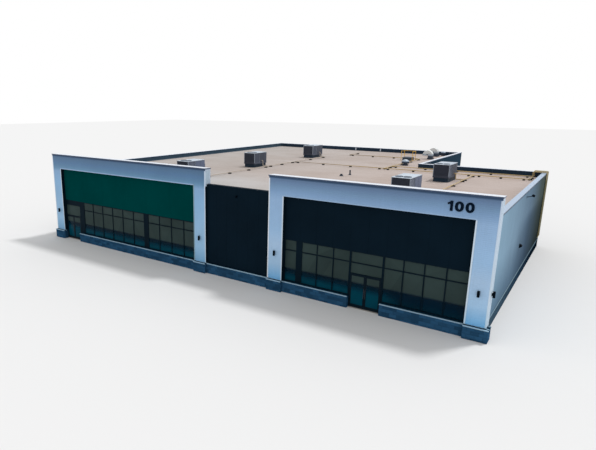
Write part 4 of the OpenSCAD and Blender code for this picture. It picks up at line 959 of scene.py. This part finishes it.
# Pale ground
let_go()
bpy.ops.mesh.primitive_plane_add(size=600, location=(0, 0, 0))
ground = bpy.context.object
ground.name = "pale_ground"
pale, tree, shader = nodes_for("pale_ground_finish")
shader.inputs["Base Color"].default_value = (0.80, 0.80, 0.80, 1)
shader.inputs["Roughness"].default_value = 1.0
shader.inputs["Specular IOR Level"].default_value = 0.0
ground.data.materials.append(pale)


# Sky: white where the camera, glass or gloss sees it, and a little weaker as light
world = bpy.data.worlds.new("soft_sky")
bpy.context.scene.world = world
world.use_nodes = True
tree = world.node_tree
back = tree.nodes["Background"]
rays = tree.nodes.new("ShaderNodeLightPath")
seen = rays.outputs["Is Camera Ray"]
for kind in ("Is Glossy Ray", "Is Transmission Ray"):
    wider = tree.nodes.new("ShaderNodeMath")
    wider.operation = "MAXIMUM"
    tree.links.new(seen, wider.inputs[0])
    tree.links.new(rays.outputs[kind], wider.inputs[1])
    seen = wider.outputs[0]
level = tree.nodes.new("ShaderNodeMapRange")
level.inputs["To Min"].default_value = 0.72
level.inputs["To Max"].default_value = 1.0
tree.links.new(seen, level.inputs["Value"])
tree.links.new(level.outputs["Result"], back.inputs["Strength"])
back.inputs["Color"].default_value = (1, 1, 1, 1)


# Soft sun from above, a little behind the building and to the right
SUN_RAYS = Vector((-0.25, -0.40, -0.88))
let_go()
bpy.ops.object.light_add(type="SUN", location=(25, 40, 60))
sun = bpy.context.object
sun.name = "soft_sun"
sun.data.energy = 1.5
sun.data.angle = math.radians(8)
sun.rotation_euler = SUN_RAYS.to_track_quat("-Z", "Y").to_euler()


# Camera at the photograph's place: its lens and picture centre are in pixels of the frame
FRAME_W, FRAME_H = 596, 450
LENS_PX = 503.9
CENTRE_X, CENTRE_Y = 232.8, 231.3
SENSOR = 36
yaw, pitch, roll = math.radians(36.41), math.radians(13.92), math.radians(0.24)
ahead = Vector((-math.sin(yaw) * math.cos(pitch), math.cos(yaw) * math.cos(pitch), -math.sin(pitch)))
right = ahead.cross(Vector((0, 0, 1))).normalized()
up = right.cross(ahead)
turned = Matrix((right, up, -ahead)).transposed() @ Matrix.Rotation(roll, 3, "Z")
bpy.ops.object.camera_add(location=(22.06, -46.96, 11.91))
camera = bpy.context.object
camera.rotation_euler = turned.to_euler()
camera.data.sensor_width = SENSOR
camera.data.lens = LENS_PX / FRAME_W * SENSOR
camera.data.shift_x = (FRAME_W / 2 - CENTRE_X) / FRAME_W
camera.data.shift_y = (CENTRE_Y - FRAME_H / 2) / FRAME_W
camera.data.clip_end = 1000
bpy.context.scene.camera = camera
bpy.context.scene.view_settings.view_transform = "Standard"
